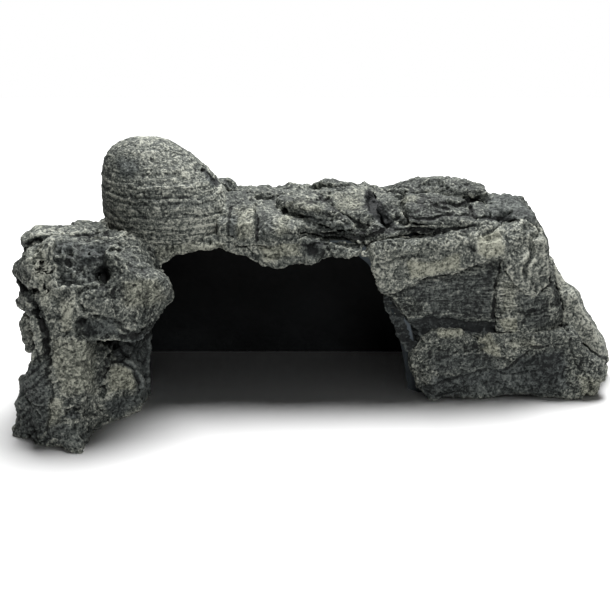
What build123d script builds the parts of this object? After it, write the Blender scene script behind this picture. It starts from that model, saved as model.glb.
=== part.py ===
"""Resin cave ornament: a thin cast cave shell with hand-sized stones bonded all round it.

Units are millimetres. +Z is up, +X is to the right of someone facing the cave mouth, and
+Y runs from the mouth to the back. The origin is on the floor, at the middle of the footprint.

Each stone is hewn from its front, side and top views, then cut back to the faces of the
shell and the stones that it is bonded to, so neighbours meet face to face.
"""

import os

from build123d import *

# Overall size
width = 300.0
depth = 150.0
height = 130.0  # to the top of the boulder

# Cave mouth and shell
mouth_width = 134.0  # between the feet of the arch
mouth_height = 80.0  # under the left-hand crown
rim_width = 7.0  # smooth collar round the mouth
rim_depth = 7.0
rim_bevel = 5.0
shell_wall = 5.0
crown_gap = 2.0  # the chamber's ceiling over the mouth's crown

# Rock masses
pillar_width = 60.0  # left edge to the arch's left foot
pillar_reach = 70.0  # pillar's front corner to the rim
pocket_wall = 8.0  # rock round the hollow under the pillar
flank_left = 30.0  # rock left of the chamber
flank_right = 30.0  # rock right of the chamber
back_thickness = 18.0  # rock behind the shell, at the floor
rear_wrap = 12.0  # how far the rear stones reach forward round the shell
brow_overhang = 9.0  # brow in front of the rim
panel_reach = 2.0  # buttress panel in front of the rim
toe_reach = 10.0  # buttress toe in front of the rim
ledge_reach = 7.0  # buttress ledge in front of the rim
toe_height = 34.0
bed_rise = 4.0  # stone bed over the shell's roof
slab_rise = 13.0  # top of the highest roof slab over the bed
boulder_width = 65.0
boulder_depth = 58.0

# Stations worked out from the sizes above
x_left, x_right = -width / 2, width / 2
y_front, y_back = -depth / 2, depth / 2
x_foot = x_left + pillar_width  # arch's left foot
x_jamb = x_foot + mouth_width  # arch's right foot
y_rim = y_front + pillar_reach
y_shell = y_rim + rim_depth
y_cave = y_shell + shell_wall
y_shell_back = y_back - back_thickness
y_cave_back = y_shell_back - shell_wall
y_brow = y_rim - brow_overhang
y_panel = y_rim - panel_reach
y_toe = y_rim - toe_reach
y_ledge = y_rim - ledge_reach
y_mid = (y_rim + y_back) / 2
z_vault = mouth_height + crown_gap
z_roof = z_vault + shell_wall
z_bed = z_roof + bed_rise
z_slab = z_bed + slab_rise
z_low = mouth_height / 2  # below every roof stone's underside
reach = width + depth + height  # longer than any view


def across(share):
    """X at a share of the way over the mouth, from its left foot to its right."""
    return x_foot + share * mouth_width


def along(share):
    """X at a share of the way along the right-hand rock, from the mouth to the end."""
    return x_jamb + share * (x_right - x_jamb)


def hew(plane, outline, mode):
    """Extrude an outline right through the object, and add it or keep only what is in it."""
    with BuildSketch(plane) as view:
        Polygon(*outline, align=None)
    extrude(view.sketch, amount=reach, both=True, mode=mode)


def hew_views(front, side, plan=None):
    """Hew the open part from outlines seen from the front (x, z), the right (y, z) and above (x, y)."""
    hew(Plane.XZ, front, Mode.ADD)
    hew(Plane.YZ, side, Mode.INTERSECT)
    if plan:
        hew(Plane.XY, plan, Mode.INTERSECT)


def fit_to(stone, *neighbours):
    """Cut the open stone back to the faces of the pieces that it is bonded to, in one piece."""
    for neighbour in neighbours:
        add(neighbour.part, mode=Mode.SUBTRACT)
    add(stone.part.solids().sort_by(SortBy.VOLUME)[-1], mode=Mode.REPLACE)


# The mouth's outline, and the chamber's behind it. The brow hangs low left of the middle.
mouth = [
    (across(0.00), 0),
    (across(0.00), 0.38 * mouth_height),
    (across(0.03), 0.70 * mouth_height),
    (across(0.06), 0.88 * mouth_height),
    (across(0.13), 0.97 * mouth_height),
    (across(0.22), 1.00 * mouth_height),
    (across(0.33), 0.97 * mouth_height),
    (across(0.42), 0.90 * mouth_height),
    (across(0.49), 0.86 * mouth_height),
    (across(0.60), 0.90 * mouth_height),
    (across(0.70), 0.94 * mouth_height),
    (across(0.78), 0.94 * mouth_height),
    (across(0.84), 0.85 * mouth_height),
    (across(0.90), 0.67 * mouth_height),
    (across(0.95), 0.44 * mouth_height),
    (across(0.985), 0.18 * mouth_height),
    (across(1.00), 0),
]
vault = [
    (x_left + flank_left, 0),
    (x_left + flank_left + 2, z_vault - 32),
    (x_left + flank_left + 16, z_vault - 6),
    (across(0.20), z_vault),
    (along(0.20), z_vault),
    (x_right - flank_right - 26, z_vault - 12),
    (x_right - flank_right, 0),
]

# Blank that the shell is cut from, and that the stones are bonded to
with BuildPart() as shell_blank:
    with BuildSketch(Plane.XZ.offset(-y_shell_back)):
        Polygon(*vault, align=None)
        offset(amount=shell_wall, kind=Kind.INTERSECTION)
    extrude(amount=y_shell_back - y_shell)
    with BuildSketch(Plane.XZ.offset(-y_shell)):
        Polygon(*mouth, align=None)
        offset(amount=rim_width, kind=Kind.INTERSECTION)
    extrude(amount=rim_depth)
    split(bisect_by=Plane.XY, keep=Keep.TOP)

# Cave shell: smooth, dark inside, open at the mouth and underneath, its rim flared
with BuildPart() as cave_shell:
    add(shell_blank.part)
    with BuildSketch(Plane.XZ.offset(-y_cave_back)):
        Polygon(*vault, align=None)
    extrude(amount=y_cave_back - y_cave, mode=Mode.SUBTRACT)
    with BuildSketch(Plane.XZ.offset(-y_cave)):
        Polygon(*mouth, align=None)
    extrude(amount=y_cave - y_rim, mode=Mode.SUBTRACT)
    with BuildSketch(Plane.XZ.offset(-y_rim - rim_bevel)) as throat:
        Polygon(*mouth, align=None)
    with BuildSketch(Plane.XZ.offset(-y_rim)) as flare:
        Polygon(*mouth, align=None)
        offset(amount=rim_bevel, kind=Kind.INTERSECTION)
    loft([throat.sketch, flare.sketch], ruled=True, mode=Mode.SUBTRACT)
cave_shell.part.label = "cave_shell"

# Pillar toe: the block with slanting ribs at the foot of the pillar's left side
with BuildPart() as pillar_toe:
    hew_views(
        front=[
            (x_left + 2, 0),
            (x_left, 6),
            (x_left, 15),
            (x_left + 6, 22),
            (x_left + 16, 26),
            (x_left + 27, 0),
        ],
        side=[
            (y_front + 2, 0),
            (y_front + 6, 12),
            (y_front + 20, 26),
            (y_rim - 24, 26),
            (y_rim - 16, 0),
        ],
        plan=[
            (x_left + 2, y_front + 19),
            (x_left + 12, y_front + 8),
            (x_left + 27, y_front + 2),
            (x_left + 20, y_rim - 16),
            (x_left, y_rim - 18),
            (x_left, y_rim - 36),
        ],
    )
pillar_toe.part.label = "pillar_toe"

# Flank chips: two chips wedged in the crevice down the pillar's left side
with BuildPart() as flank_chip_upper:
    hew_views(
        front=[
            (x_left + 13, z_roof - 51),
            (x_left + 8, z_roof - 45),
            (x_left + 7, z_roof - 36),
            (x_left + 10, z_roof - 27),
            (x_left + 20, z_roof - 30),
            (x_left + 20, z_roof - 51),
        ],
        side=[
            (y_front + 26, z_roof - 51),
            (y_front + 24, z_roof - 28),
            (y_rim - 18, z_roof - 26),
            (y_rim - 16, z_roof - 51),
        ],
    )
flank_chip_upper.part.label = "flank_chip_upper"

with BuildPart() as flank_chip_lower:
    hew_views(
        front=[
            (x_left + 6, 24),
            (x_left + 8, 30),
            (x_left + 12, z_roof - 51),
            (x_left + 20, z_roof - 51),
            (x_left + 20, 24),
        ],
        side=[
            (y_front + 22, 24),
            (y_front + 25, z_roof - 51),
            (y_rim - 20, z_roof - 51),
            (y_rim - 18, 24),
        ],
    )
    fit_to(flank_chip_lower, pillar_toe, flank_chip_upper)
flank_chip_lower.part.label = "flank_chip_lower"

# Foot stone: the pale lump in the corner between the pillar and the mouth
with BuildPart() as foot_stone:
    hew_views(
        front=[
            (x_foot - 21, 0),
            (x_foot - 20, 24),
            (x_foot - 14, 29),
            (x_foot - 6, 28),
            (x_foot - 2, 14),
            (x_foot + 1, 0),
        ],
        side=[
            (y_rim - 40, 0),
            (y_rim - 36, 14),
            (y_rim - 28, 29),
            (y_rim - 8, 29),
            (y_rim - 8, 0),
        ],
        plan=[
            (x_foot - 21, y_rim - 40),
            (x_foot - 13, y_rim - 33),
            (x_foot - 3, y_rim - 23),
            (x_foot + 1, y_rim - 8),
            (x_foot - 21, y_rim - 8),
        ],
    )
    fit_to(foot_stone, shell_blank)
foot_stone.part.label = "foot_stone"

# Left pillar: the trunk that reaches forward, hollow underneath
with BuildPart() as left_pillar:
    hew_views(
        front=[
            (x_left + 4, 0),
            (x_left + 4, 18),
            (x_left + 11, 36),
            (x_left + 13, 50),
            (x_left + 9, 66),
            (x_left + 13, z_roof - 2),
            (x_foot - 14, z_roof - 2),
            (x_foot + 1, z_roof - 20),
            (x_foot + 2, 44),
            (x_foot + 1, 20),
            (x_foot + 1, 0),
        ],
        side=[
            (y_front, 0),
            (y_front + 6, 34),
            (y_front + 24, z_roof - 2),
            (y_rim + 5, z_roof - 2),
            (y_shell + 18, z_roof - 14),
            (y_shell + 18, 0),
        ],
        plan=[
            (x_left + 2, y_front + 18),
            (x_left + 14, y_front + 6),
            (x_left + 33, y_front),
            (x_left + 39, y_front + 21),
            (x_left + 41, y_front + 38),
            (x_foot - 5, y_rim - 23),
            (x_foot + 1, y_rim - 4),
            (x_foot + 1, y_shell + 18),
            (x_left + 3, y_shell + 18),
            (x_left, y_rim - 25),
        ],
    )
    fit_to(left_pillar, shell_blank, pillar_toe, flank_chip_upper, flank_chip_lower, foot_stone)
    with BuildSketch(Plane.XY):
        Polygon(
            (x_left + 20 + pocket_wall, y_front + 6 + pocket_wall),
            (x_left + 36 - pocket_wall, y_front + 10 + pocket_wall),
            (x_left + 38 - pocket_wall, y_rim - 40),
            (x_foot - 21 - pocket_wall, y_rim - 20),
            (x_foot - 21 - pocket_wall, y_shell - pocket_wall),
            (x_left + 3 + pocket_wall, y_shell - pocket_wall),
            (x_left + 3 + pocket_wall, y_rim - 16 + pocket_wall),
            (x_left + 20 + pocket_wall, y_rim - 24),
            align=None,
        )
    extrude(amount=z_roof - 2 * pocket_wall, taper=5, mode=Mode.SUBTRACT)
left_pillar.part.label = "left_pillar"

# Pillar head: the craggy block that juts out over the trunk, with a nose towards the mouth
with BuildPart() as pillar_head:
    hew_views(
        front=[
            (x_left + 2, z_roof - 11),
            (x_left + 5, z_roof - 24),
            (x_left + 22, z_roof - 28),
            (x_left + 40, z_roof - 36),
            (x_left + 51, z_roof - 34),
            (x_foot + 1, z_roof - 38),
            (x_foot + 9, z_roof - 33),
            (x_foot + 15, z_roof - 27),
            (x_foot + 12, z_roof - 15),
            (x_foot + 4, z_roof - 6),
            (x_foot - 12, z_roof + 4),
            (x_left + 26, z_roof + 5),
            (x_left + 8, z_roof + 2),
        ],
        side=[
            (y_front + 11, z_roof - 46),
            (y_front + 9, z_roof - 26),
            (y_front + 14, z_roof - 10),
            (y_front + 24, z_roof + 4),
            (y_rim - 14, z_roof + 6),
            (y_rim - 2, z_roof + 2),
            (y_rim - 2, z_roof - 46),
        ],
        plan=[
            (x_left + 2, y_rim - 30),
            (x_left + 8, y_front + 22),
            (x_left + 22, y_front + 13),
            (x_left + 44, y_front + 10),
            (x_foot + 4, y_front + 22),
            (x_foot + 15, y_front + 36),
            (x_foot + 13, y_rim - 12),
            (x_foot - 4, y_rim),
            (x_left, y_rim),
        ],
    )
    fit_to(pillar_head, shell_blank, left_pillar, flank_chip_upper)
pillar_head.part.label = "pillar_head"

# Pillar cap: the flat stone on top of the pillar, set back from its edge
with BuildPart() as pillar_cap:
    hew_views(
        front=[
            (x_left + 4, z_roof - 12),
            (x_left + 5, z_roof + 1),
            (x_left + 11, z_roof + 5),
            (x_left + 28, z_roof + 7),
            (x_left + 42, z_roof + 5),
            (x_left + 46, z_roof - 12),
        ],
        side=[
            (y_rim - 32, z_roof - 8),
            (y_rim - 26, z_roof + 5),
            (y_rim - 8, z_roof + 7),
            (y_rim + 2, z_roof + 4),
            (y_shell + 14, z_roof - 6),
            (y_shell + 20, z_roof - 14),
            (y_rim, z_roof - 16),
        ],
    )
    fit_to(pillar_cap, shell_blank, left_pillar, pillar_head)
pillar_cap.part.label = "pillar_cap"

# Boulder: the rounded stone that stands on the roof beside the pillar
with BuildPart() as boulder:
    rise = height - z_roof
    x_boulder = x_foot + 12
    y_boulder = y_brow + boulder_depth / 2 - 4
    stages = [  # share of the rise, shift to the right, share of the width, share of the depth
        (-0.09, 0, 0.93, 0.92),
        (0.25, -1, 0.98, 1.00),
        (0.55, -5, 0.85, 0.86),
        (0.78, -9, 0.66, 0.60),
        (0.92, -11, 0.46, 0.36),
        (1.00, -12, 0.20, 0.14),
    ]
    for share, shift, wide, deep in stages:
        with BuildSketch(Plane.XY.offset(z_roof + share * rise)):
            with Locations((x_boulder + shift, y_boulder)):
                Ellipse(wide * boulder_width / 2, deep * boulder_depth / 2)
    loft()
    fit_to(boulder, shell_blank, left_pillar, pillar_head, pillar_cap)
boulder.part.label = "boulder"

# Spring stone: the rough strip between the boulder and the mouth's left-hand crown
with BuildPart() as spring_stone:
    hew_views(
        front=[
            (x_foot - 14, z_roof),
            (x_foot - 12, z_roof - 22),
            (across(0.03), z_roof - 24),
            (across(0.05), z_roof - 14),
            (across(0.13), z_roof - 7),
            (across(0.22), z_roof - 5),
            (across(0.33), z_roof - 7),
            (across(0.34), z_roof),
        ],
        side=[
            (y_brow, z_roof - 24),
            (y_brow - 1, z_roof - 4),
            (y_brow + 1, z_roof),
            (y_shell, z_roof),
            (y_shell, z_roof - 24),
        ],
    )
    fit_to(spring_stone, shell_blank, left_pillar, pillar_head, boulder)
spring_stone.part.label = "spring_stone"

# Brow lip: the pale band that hangs lowest over the mouth
with BuildPart() as brow_lip:
    hew_views(
        front=[
            (across(0.31), z_roof - 1),
            (across(0.33), z_roof - 7),
            (across(0.42), 0.90 * mouth_height + 3),
            (across(0.49), 0.86 * mouth_height + 3),
            (across(0.53), 0.86 * mouth_height + 3),
            (across(0.60), 0.90 * mouth_height + 3),
            (across(0.70), 0.94 * mouth_height + 2),
            (across(0.80), 0.94 * mouth_height + 2),
            (across(0.83), z_roof - 6),
            (across(0.64), z_roof - 2),
            (across(0.50), z_roof - 3),
            (across(0.40), z_roof - 2),
        ],
        side=[
            (y_brow + 2, z_low),
            (y_brow, z_roof - 8),
            (y_brow + 2, z_roof),
            (y_shell, z_roof),
            (y_shell, z_low),
        ],
    )
    fit_to(brow_lip, shell_blank, spring_stone, boulder)
brow_lip.part.label = "brow_lip"

# Buttress ledge: the pale overhanging layer at the top of the right-hand face
with BuildPart() as buttress_ledge:
    hew_views(
        front=[
            (across(0.81), 0.94 * mouth_height + 2),
            (across(0.86), 0.85 * mouth_height + 3),
            (across(0.91), 0.67 * mouth_height + 7),
            (across(0.97), z_roof - 25),
            (along(0.06), z_roof - 23),
            (along(0.16), z_roof - 19),
            (along(0.28), z_roof - 15),
            (along(0.42), z_roof - 11),
            (along(0.43), z_roof - 1),
            (along(0.34), z_bed - 1),
            (along(0.18), z_roof - 1),
            (along(0.04), z_roof - 4),
            (across(0.88), z_roof - 6),
        ],
        side=[
            (y_ledge + 5, z_low),
            (y_ledge, z_roof - 18),
            (y_ledge, z_roof - 8),
            (y_ledge + 4, z_roof),
            (y_shell, z_bed),
            (y_shell, z_low),
        ],
    )
    fit_to(buttress_ledge, shell_blank, brow_lip)
buttress_ledge.part.label = "buttress_ledge"

# Buttress panel: the recessed dark face under the ledge
with BuildPart() as buttress_panel:
    hew_views(
        front=[
            (across(0.88), 0.67 * mouth_height + 12),
            (across(0.95), 0.44 * mouth_height),
            (x_jamb, toe_height - 8),
            (along(0.42), toe_height - 8),
            (along(0.42), z_roof - 8),
            (along(0.10), z_roof - 8),
        ],
        side=[
            (y_panel - 1, toe_height - 8),
            (y_panel, toe_height + 8),
            (y_panel + 2, z_roof - 8),
            (y_shell, z_roof - 8),
            (y_shell, toe_height - 8),
        ],
    )
    fit_to(buttress_panel, shell_blank, buttress_ledge)
buttress_panel.part.label = "buttress_panel"

# Buttress toe: the swollen band along the floor
with BuildPart() as buttress_toe:
    hew_views(
        front=[
            (x_jamb + 10, 0),
            (x_jamb + 5, 8),
            (x_jamb, 18),
            (x_jamb + 2, toe_height - 8),
            (x_jamb + 8, toe_height),
            (along(0.50), toe_height + 2),
            (along(0.78), toe_height - 2),
            (along(0.93), 12),
            (along(0.93), 0),
        ],
        side=[
            (y_toe + 2, 0),
            (y_toe, 7),
            (y_toe + 4, 20),
            (y_panel - 2, toe_height + 2),
            (y_shell + 6, toe_height + 2),
            (y_shell + 6, 0),
        ],
        plan=[
            (x_jamb - 1, y_shell),
            (x_jamb + 4, y_toe + 6),
            (x_jamb + 14, y_toe),
            (along(0.40), y_toe + 3),
            (along(0.80), y_toe + 1),
            (along(0.93), y_toe + 6),
            (along(0.94), y_shell + 6),
            (x_jamb - 1, y_shell + 6),
        ],
    )
    fit_to(buttress_toe, shell_blank, buttress_panel)
buttress_toe.part.label = "buttress_toe"

# Shoulder stone: pale rounded stone at the top of the right-hand corner
with BuildPart() as shoulder_stone:
    hew_views(
        front=[
            (along(0.41), z_roof - 14),
            (along(0.42), z_roof),
            (along(0.50), z_bed - 2),
            (along(0.60), z_roof - 3),
            (along(0.64), z_roof - 12),
            (along(0.67), z_roof - 26),
            (along(0.61), z_roof - 32),
            (along(0.48), z_roof - 25),
        ],
        side=[
            (y_panel - 3, z_roof - 32),
            (y_panel - 1, z_roof - 14),
            (y_rim + 6, z_roof - 3),
            (y_rim + 16, z_bed - 1),
            (y_rim + 22, z_roof - 6),
            (y_rim + 22, z_roof - 32),
        ],
    )
    fit_to(shoulder_stone, shell_blank, buttress_ledge, buttress_panel)
shoulder_stone.part.label = "shoulder_stone"

# Buttress column: the layered corner under the shoulder stone
with BuildPart() as buttress_column:
    hew_views(
        front=[
            (along(0.41), toe_height - 8),
            (along(0.41), z_roof - 10),
            (along(0.67), z_roof - 20),
            (along(0.74), toe_height - 8),
        ],
        side=[
            (y_panel - 1, toe_height - 8),
            (y_panel + 2, z_roof - 10),
            (y_mid - 6, z_roof - 10),
            (y_mid - 6, toe_height - 8),
        ],
        plan=[
            (along(0.40), y_panel - 2),
            (along(0.56), y_panel - 1),
            (along(0.74), y_rim + 10),
            (along(0.74), y_mid),
            (along(0.40), y_mid),
        ],
    )
    fit_to(buttress_column, shell_blank, buttress_ledge, buttress_panel, buttress_toe, shoulder_stone)
buttress_column.part.label = "buttress_column"

# End slab: the tilted sheet that closes the right-hand end
with BuildPart() as end_slab:
    hew_views(
        front=[
            (along(0.55), 0),
            (along(0.60), z_roof - 22),
            (along(0.70), z_roof - 26),
            (along(0.79), z_roof - 41),
            (along(0.89), 31),
            (along(0.95), 20),
            (x_right, 9),
            (x_right, 3),
            (along(0.98), 0),
        ],
        side=[
            (y_shell + 2, 0),
            (y_shell + 6, z_roof - 40),
            (y_mid - 16, z_roof - 22),
            (y_mid, z_roof - 22),
            (y_shell_back - 4, toe_height + 12),
            (y_shell_back, 0),
        ],
        plan=[
            (along(0.50), y_shell + 2),
            (along(0.92), y_shell + 2),
            (x_right, y_mid - 14),
            (x_right, y_mid + 2),
            (along(0.90), y_shell_back),
            (along(0.50), y_shell_back),
        ],
    )
    fit_to(end_slab, shell_blank, shoulder_stone, buttress_column, buttress_toe)
end_slab.part.label = "end_slab"

# Stone bed: the layered sheet that covers the roof and carries the stones on top
with BuildPart() as stone_bed:
    hew_views(
        front=[
            (x_foot - 16, z_low),
            (x_foot - 16, z_bed + 3),
            (along(0.44), z_bed + 3),
            (along(0.52), z_bed - 2),
            (along(0.52), z_low),
        ],
        side=[
            (y_rim - 4, z_roof - 6),
            (y_rim - 3, z_bed - 2),
            (y_rim + 6, z_bed),
            (y_mid, z_bed + 2),
            (y_shell_back - 4, z_bed - 2),
            (y_shell_back + 4, z_roof - 4),
            (y_shell_back + 4, z_roof - 6),
            (y_shell_back, z_roof - 6),
            (y_shell_back, z_low),
            (y_shell, z_low),
            (y_shell, z_roof - 6),
        ],
        plan=[
            (x_foot - 16, y_brow),
            (along(0.36), y_brow),
            (along(0.42), y_rim + 14),
            (along(0.52), y_rim + 20),
            (along(0.52), y_shell_back + 4),
            (x_foot - 16, y_shell_back + 4),
        ],
    )
    fit_to(
        stone_bed,
        shell_blank,
        left_pillar,
        pillar_head,
        pillar_cap,
        boulder,
        spring_stone,
        brow_lip,
        buttress_ledge,
        shoulder_stone,
        buttress_column,
        end_slab,
    )
stone_bed.part.label = "stone_bed"

# Wedge stone: upright splinter against the boulder's right side
with BuildPart() as wedge_stone:
    hew_views(
        front=[
            (across(0.28), z_roof - 4),
            (across(0.28), z_bed + 14),
            (across(0.33), z_bed + 12),
            (across(0.40), z_bed + 8),
            (across(0.42), z_roof - 4),
        ],
        side=[
            (y_brow, z_roof - 4),
            (y_brow + 2, z_bed + 2),
            (y_rim + 12, z_bed + 12),
            (y_mid - 6, z_bed + 8),
            (y_mid - 6, z_roof - 4),
        ],
    )
    fit_to(wedge_stone, shell_blank, boulder, spring_stone, brow_lip, stone_bed)
wedge_stone.part.label = "wedge_stone"

# Brow stone: squat stone beside the wedge
with BuildPart() as brow_stone:
    hew_views(
        front=[
            (across(0.41), z_roof - 4),
            (across(0.41), z_bed + 5),
            (across(0.50), z_bed + 4),
            (across(0.57), z_bed - 1),
            (across(0.60), z_roof - 4),
        ],
        side=[
            (y_brow, z_roof - 4),
            (y_brow + 1, z_roof + 2),
            (y_rim + 8, z_bed + 5),
            (y_mid - 14, z_bed + 5),
            (y_mid - 14, z_roof - 4),
        ],
    )
    fit_to(brow_stone, shell_blank, brow_lip, stone_bed, wedge_stone)
brow_stone.part.label = "brow_stone"

# Long stone: lies across the roof and points down to the right
with BuildPart() as long_stone:
    hew_views(
        front=[
            (across(0.50), z_roof),
            (across(0.50), z_bed + 8),
            (across(0.60), z_bed + 9),
            (across(0.78), z_bed + 2),
            (across(0.80), z_roof),
        ],
        side=[
            (y_rim - 4, z_bed - 2),
            (y_rim + 4, z_bed + 5),
            (y_rim + 16, z_bed + 9),
            (y_mid - 6, z_bed + 7),
            (y_mid - 6, z_roof),
        ],
        plan=[
            (across(0.50), y_rim + 12),
            (across(0.62), y_rim + 2),
            (across(0.80), y_rim - 4),
            (across(0.80), y_rim + 8),
            (across(0.62), y_mid - 6),
            (across(0.50), y_mid - 6),
        ],
    )
    fit_to(long_stone, stone_bed, brow_stone)
long_stone.part.label = "long_stone"

# Saddle stone: rounded stone behind and right of the long one
with BuildPart() as saddle_stone:
    hew_views(
        front=[
            (across(0.67), z_roof),
            (across(0.67), z_bed + 5),
            (across(0.72), z_bed + 9),
            (across(0.84), z_bed + 9),
            (across(0.88), z_bed + 3),
            (across(0.88), z_roof),
        ],
        side=[
            (y_rim + 2, z_bed - 2),
            (y_rim + 8, z_bed + 5),
            (y_rim + 22, z_bed + 9),
            (y_mid + 2, z_bed + 6),
            (y_mid + 2, z_roof),
        ],
    )
    fit_to(saddle_stone, stone_bed, long_stone)
saddle_stone.part.label = "saddle_stone"

# Fin stone: thin upright stone at the bottom of the deep gap in the brow
with BuildPart() as fin_stone:
    hew_views(
        front=[
            (across(0.90), z_roof),
            (across(0.89), z_bed + 5),
            (across(0.92), z_bed + 8),
            (across(0.96), z_bed + 2),
            (across(0.98), z_roof),
        ],
        side=[
            (y_rim - 2, z_roof),
            (y_rim + 2, z_bed),
            (y_rim + 12, z_bed + 8),
            (y_mid - 6, z_bed + 6),
            (y_mid - 6, z_roof),
        ],
    )
    fit_to(fin_stone, stone_bed, saddle_stone)
fin_stone.part.label = "fin_stone"

# Crown slab: the broad slab right of the gap, at the front of the roof
with BuildPart() as crown_slab:
    hew_views(
        front=[
            (across(0.98), z_roof - 2),
            (across(0.97), z_bed + 3),
            (across(0.99), z_bed + 8),
            (along(0.16), z_bed + 7),
            (along(0.34), z_bed + 4),
            (along(0.40), z_bed - 3),
            (along(0.40), z_roof - 2),
        ],
        side=[
            (y_rim - 4, z_roof - 2),
            (y_rim, z_bed + 1),
            (y_rim + 14, z_bed + 8),
            (y_mid, z_bed + 7),
            (y_mid, z_roof),
        ],
    )
    fit_to(crown_slab, shell_blank, stone_bed, fin_stone, buttress_ledge)
crown_slab.part.label = "crown_slab"

# Top slab: the highest slab, along the back of the roof on the right
with BuildPart() as top_slab:
    hew_views(
        front=[
            (across(0.92), z_roof),
            (across(0.92), z_slab - 10),
            (across(0.98), z_slab - 4),
            (along(0.10), z_slab),
            (along(0.28), z_slab - 2),
            (along(0.35), z_slab - 5),
            (along(0.39), z_slab - 12),
            (along(0.38), z_roof),
        ],
        side=[
            (y_mid - 12, z_bed),
            (y_mid - 8, z_slab - 4),
            (y_mid - 2, z_slab),
            (y_mid + 8, z_slab - 4),
            (y_shell_back - 2, z_slab - 11),
            (y_shell_back - 2, z_roof),
        ],
    )
    fit_to(top_slab, stone_bed, saddle_stone, fin_stone, crown_slab)
top_slab.part.label = "top_slab"

# Corner slab: lower slab at the right-hand end of the roof
with BuildPart() as corner_slab:
    hew_views(
        front=[
            (along(0.36), z_roof - 26),
            (along(0.36), z_bed + 2),
            (along(0.46), z_bed + 3),
            (along(0.57), z_bed),
            (along(0.61), z_roof - 3),
            (along(0.65), z_roof - 12),
            (along(0.66), z_roof - 26),
        ],
        side=[
            (y_rim + 8, z_roof - 8),
            (y_rim + 12, z_bed - 2),
            (y_mid - 6, z_bed + 3),
            (y_mid + 6, z_bed),
            (y_shell_back - 2, z_roof - 6),
            (y_shell_back - 2, z_roof - 26),
            (y_rim + 8, z_roof - 26),
        ],
    )
    fit_to(
        corner_slab,
        shell_blank,
        stone_bed,
        shoulder_stone,
        buttress_column,
        end_slab,
        crown_slab,
        top_slab,
    )
corner_slab.part.label = "corner_slab"

# Back slab: covers the rear of the roof behind the boulder and the brow stones
with BuildPart() as back_slab:
    hew_views(
        front=[
            (across(0.02), z_roof),
            (across(0.20), z_bed + 10),
            (across(0.34), z_bed + 7),
            (across(0.46), z_bed + 9),
            (across(0.64), z_bed + 6),
            (across(0.72), z_bed + 9),
            (across(0.84), z_bed + 7),
            (across(0.93), z_bed + 5),
            (across(0.93), z_roof),
        ],
        side=[
            (y_mid - 18, z_bed),
            (y_mid - 10, z_bed + 8),
            (y_mid + 2, z_bed + 9),
            (y_shell_back - 8, z_bed + 3),
            (y_shell_back + 2, z_roof - 4),
        ],
    )
    fit_to(
        back_slab,
        shell_blank,
        stone_bed,
        boulder,
        wedge_stone,
        brow_stone,
        long_stone,
        saddle_stone,
        fin_stone,
        crown_slab,
        top_slab,
    )
back_slab.part.label = "back_slab"

# Chock stone: small stone jammed behind the boulder's right side
with BuildPart() as chock_stone:
    hew_views(
        front=[
            (across(0.24), z_bed),
            (across(0.27), z_bed + 15),
            (across(0.30), z_bed + 15),
            (across(0.34), z_bed + 9),
            (across(0.36), z_bed),
        ],
        side=[
            (y_mid - 18, z_bed),
            (y_mid - 16, z_bed + 15),
            (y_mid - 6, z_bed + 14),
            (y_mid, z_bed),
        ],
    )
    fit_to(chock_stone, stone_bed, boulder, wedge_stone, back_slab)
chock_stone.part.label = "chock_stone"

# Left flank slab: closes the left side behind the pillar
with BuildPart() as left_flank_slab:
    hew_views(
        front=[
            (x_left + 5, 0),
            (x_left + 8, 36),
            (x_left + 16, z_roof - 24),
            (x_left + 32, z_roof - 12),
            (x_left + 46, z_roof),
            (x_left + 48, 0),
        ],
        side=[
            (y_shell + 8, 0),
            (y_shell + 8, z_roof),
            (y_shell_back - 8, z_roof - 8),
            (y_shell_back + 2, 50),
            (y_shell_back + 8, 0),
        ],
        plan=[
            (x_left + 5, y_shell + 8),
            (x_left + 8, y_mid),
            (x_left + 24, y_shell_back + 4),
            (x_left + 48, y_shell_back + 8),
            (x_left + 48, y_shell + 8),
        ],
    )
    fit_to(left_flank_slab, shell_blank, left_pillar, pillar_cap, boulder, stone_bed, back_slab)
left_flank_slab.part.label = "left_flank_slab"

# Rear stones: three slabs that lean on the back of the shell
rear_joints = [x_left + 38, across(0.34), across(0.92), along(0.67)]
rear_tops = [(z_roof - 10, z_roof), (z_roof, z_roof), (z_roof - 4, z_roof - 24)]
y_wrap = y_shell_back - rear_wrap
rear_stones = []
for number, name in enumerate(["rear_stone_left", "rear_stone_middle", "rear_stone_right"]):
    start, end = rear_joints[number], rear_joints[number + 1]
    start_top, end_top = rear_tops[number]
    with BuildPart() as rear_stone:
        hew_views(
            front=[
                (start, 0),
                (start, start_top),
                ((start + end) / 2, max(start_top, end_top)),
                (end, end_top),
                (end, 0),
            ],
            side=[
                (y_wrap, 0),
                (y_wrap, z_roof - 4),
                (y_shell_back, z_roof),
                (y_shell_back + 6, z_roof),
                (y_shell_back + 12, z_low + 10),
                (y_back - 2, 12),
                (y_back, 4),
                (y_back, 0),
            ],
            plan=[
                (start, y_wrap),
                (start, y_back - 4),
                ((start + end) / 2, y_back),
                (end, y_back - 5),
                (end, y_wrap),
            ],
        )
        fit_to(
            rear_stone,
            shell_blank,
            boulder,
            stone_bed,
            back_slab,
            top_slab,
            corner_slab,
            left_flank_slab,
            end_slab,
        )
    rear_stone.part.label = name
    rear_stones.append(rear_stone)

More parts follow.
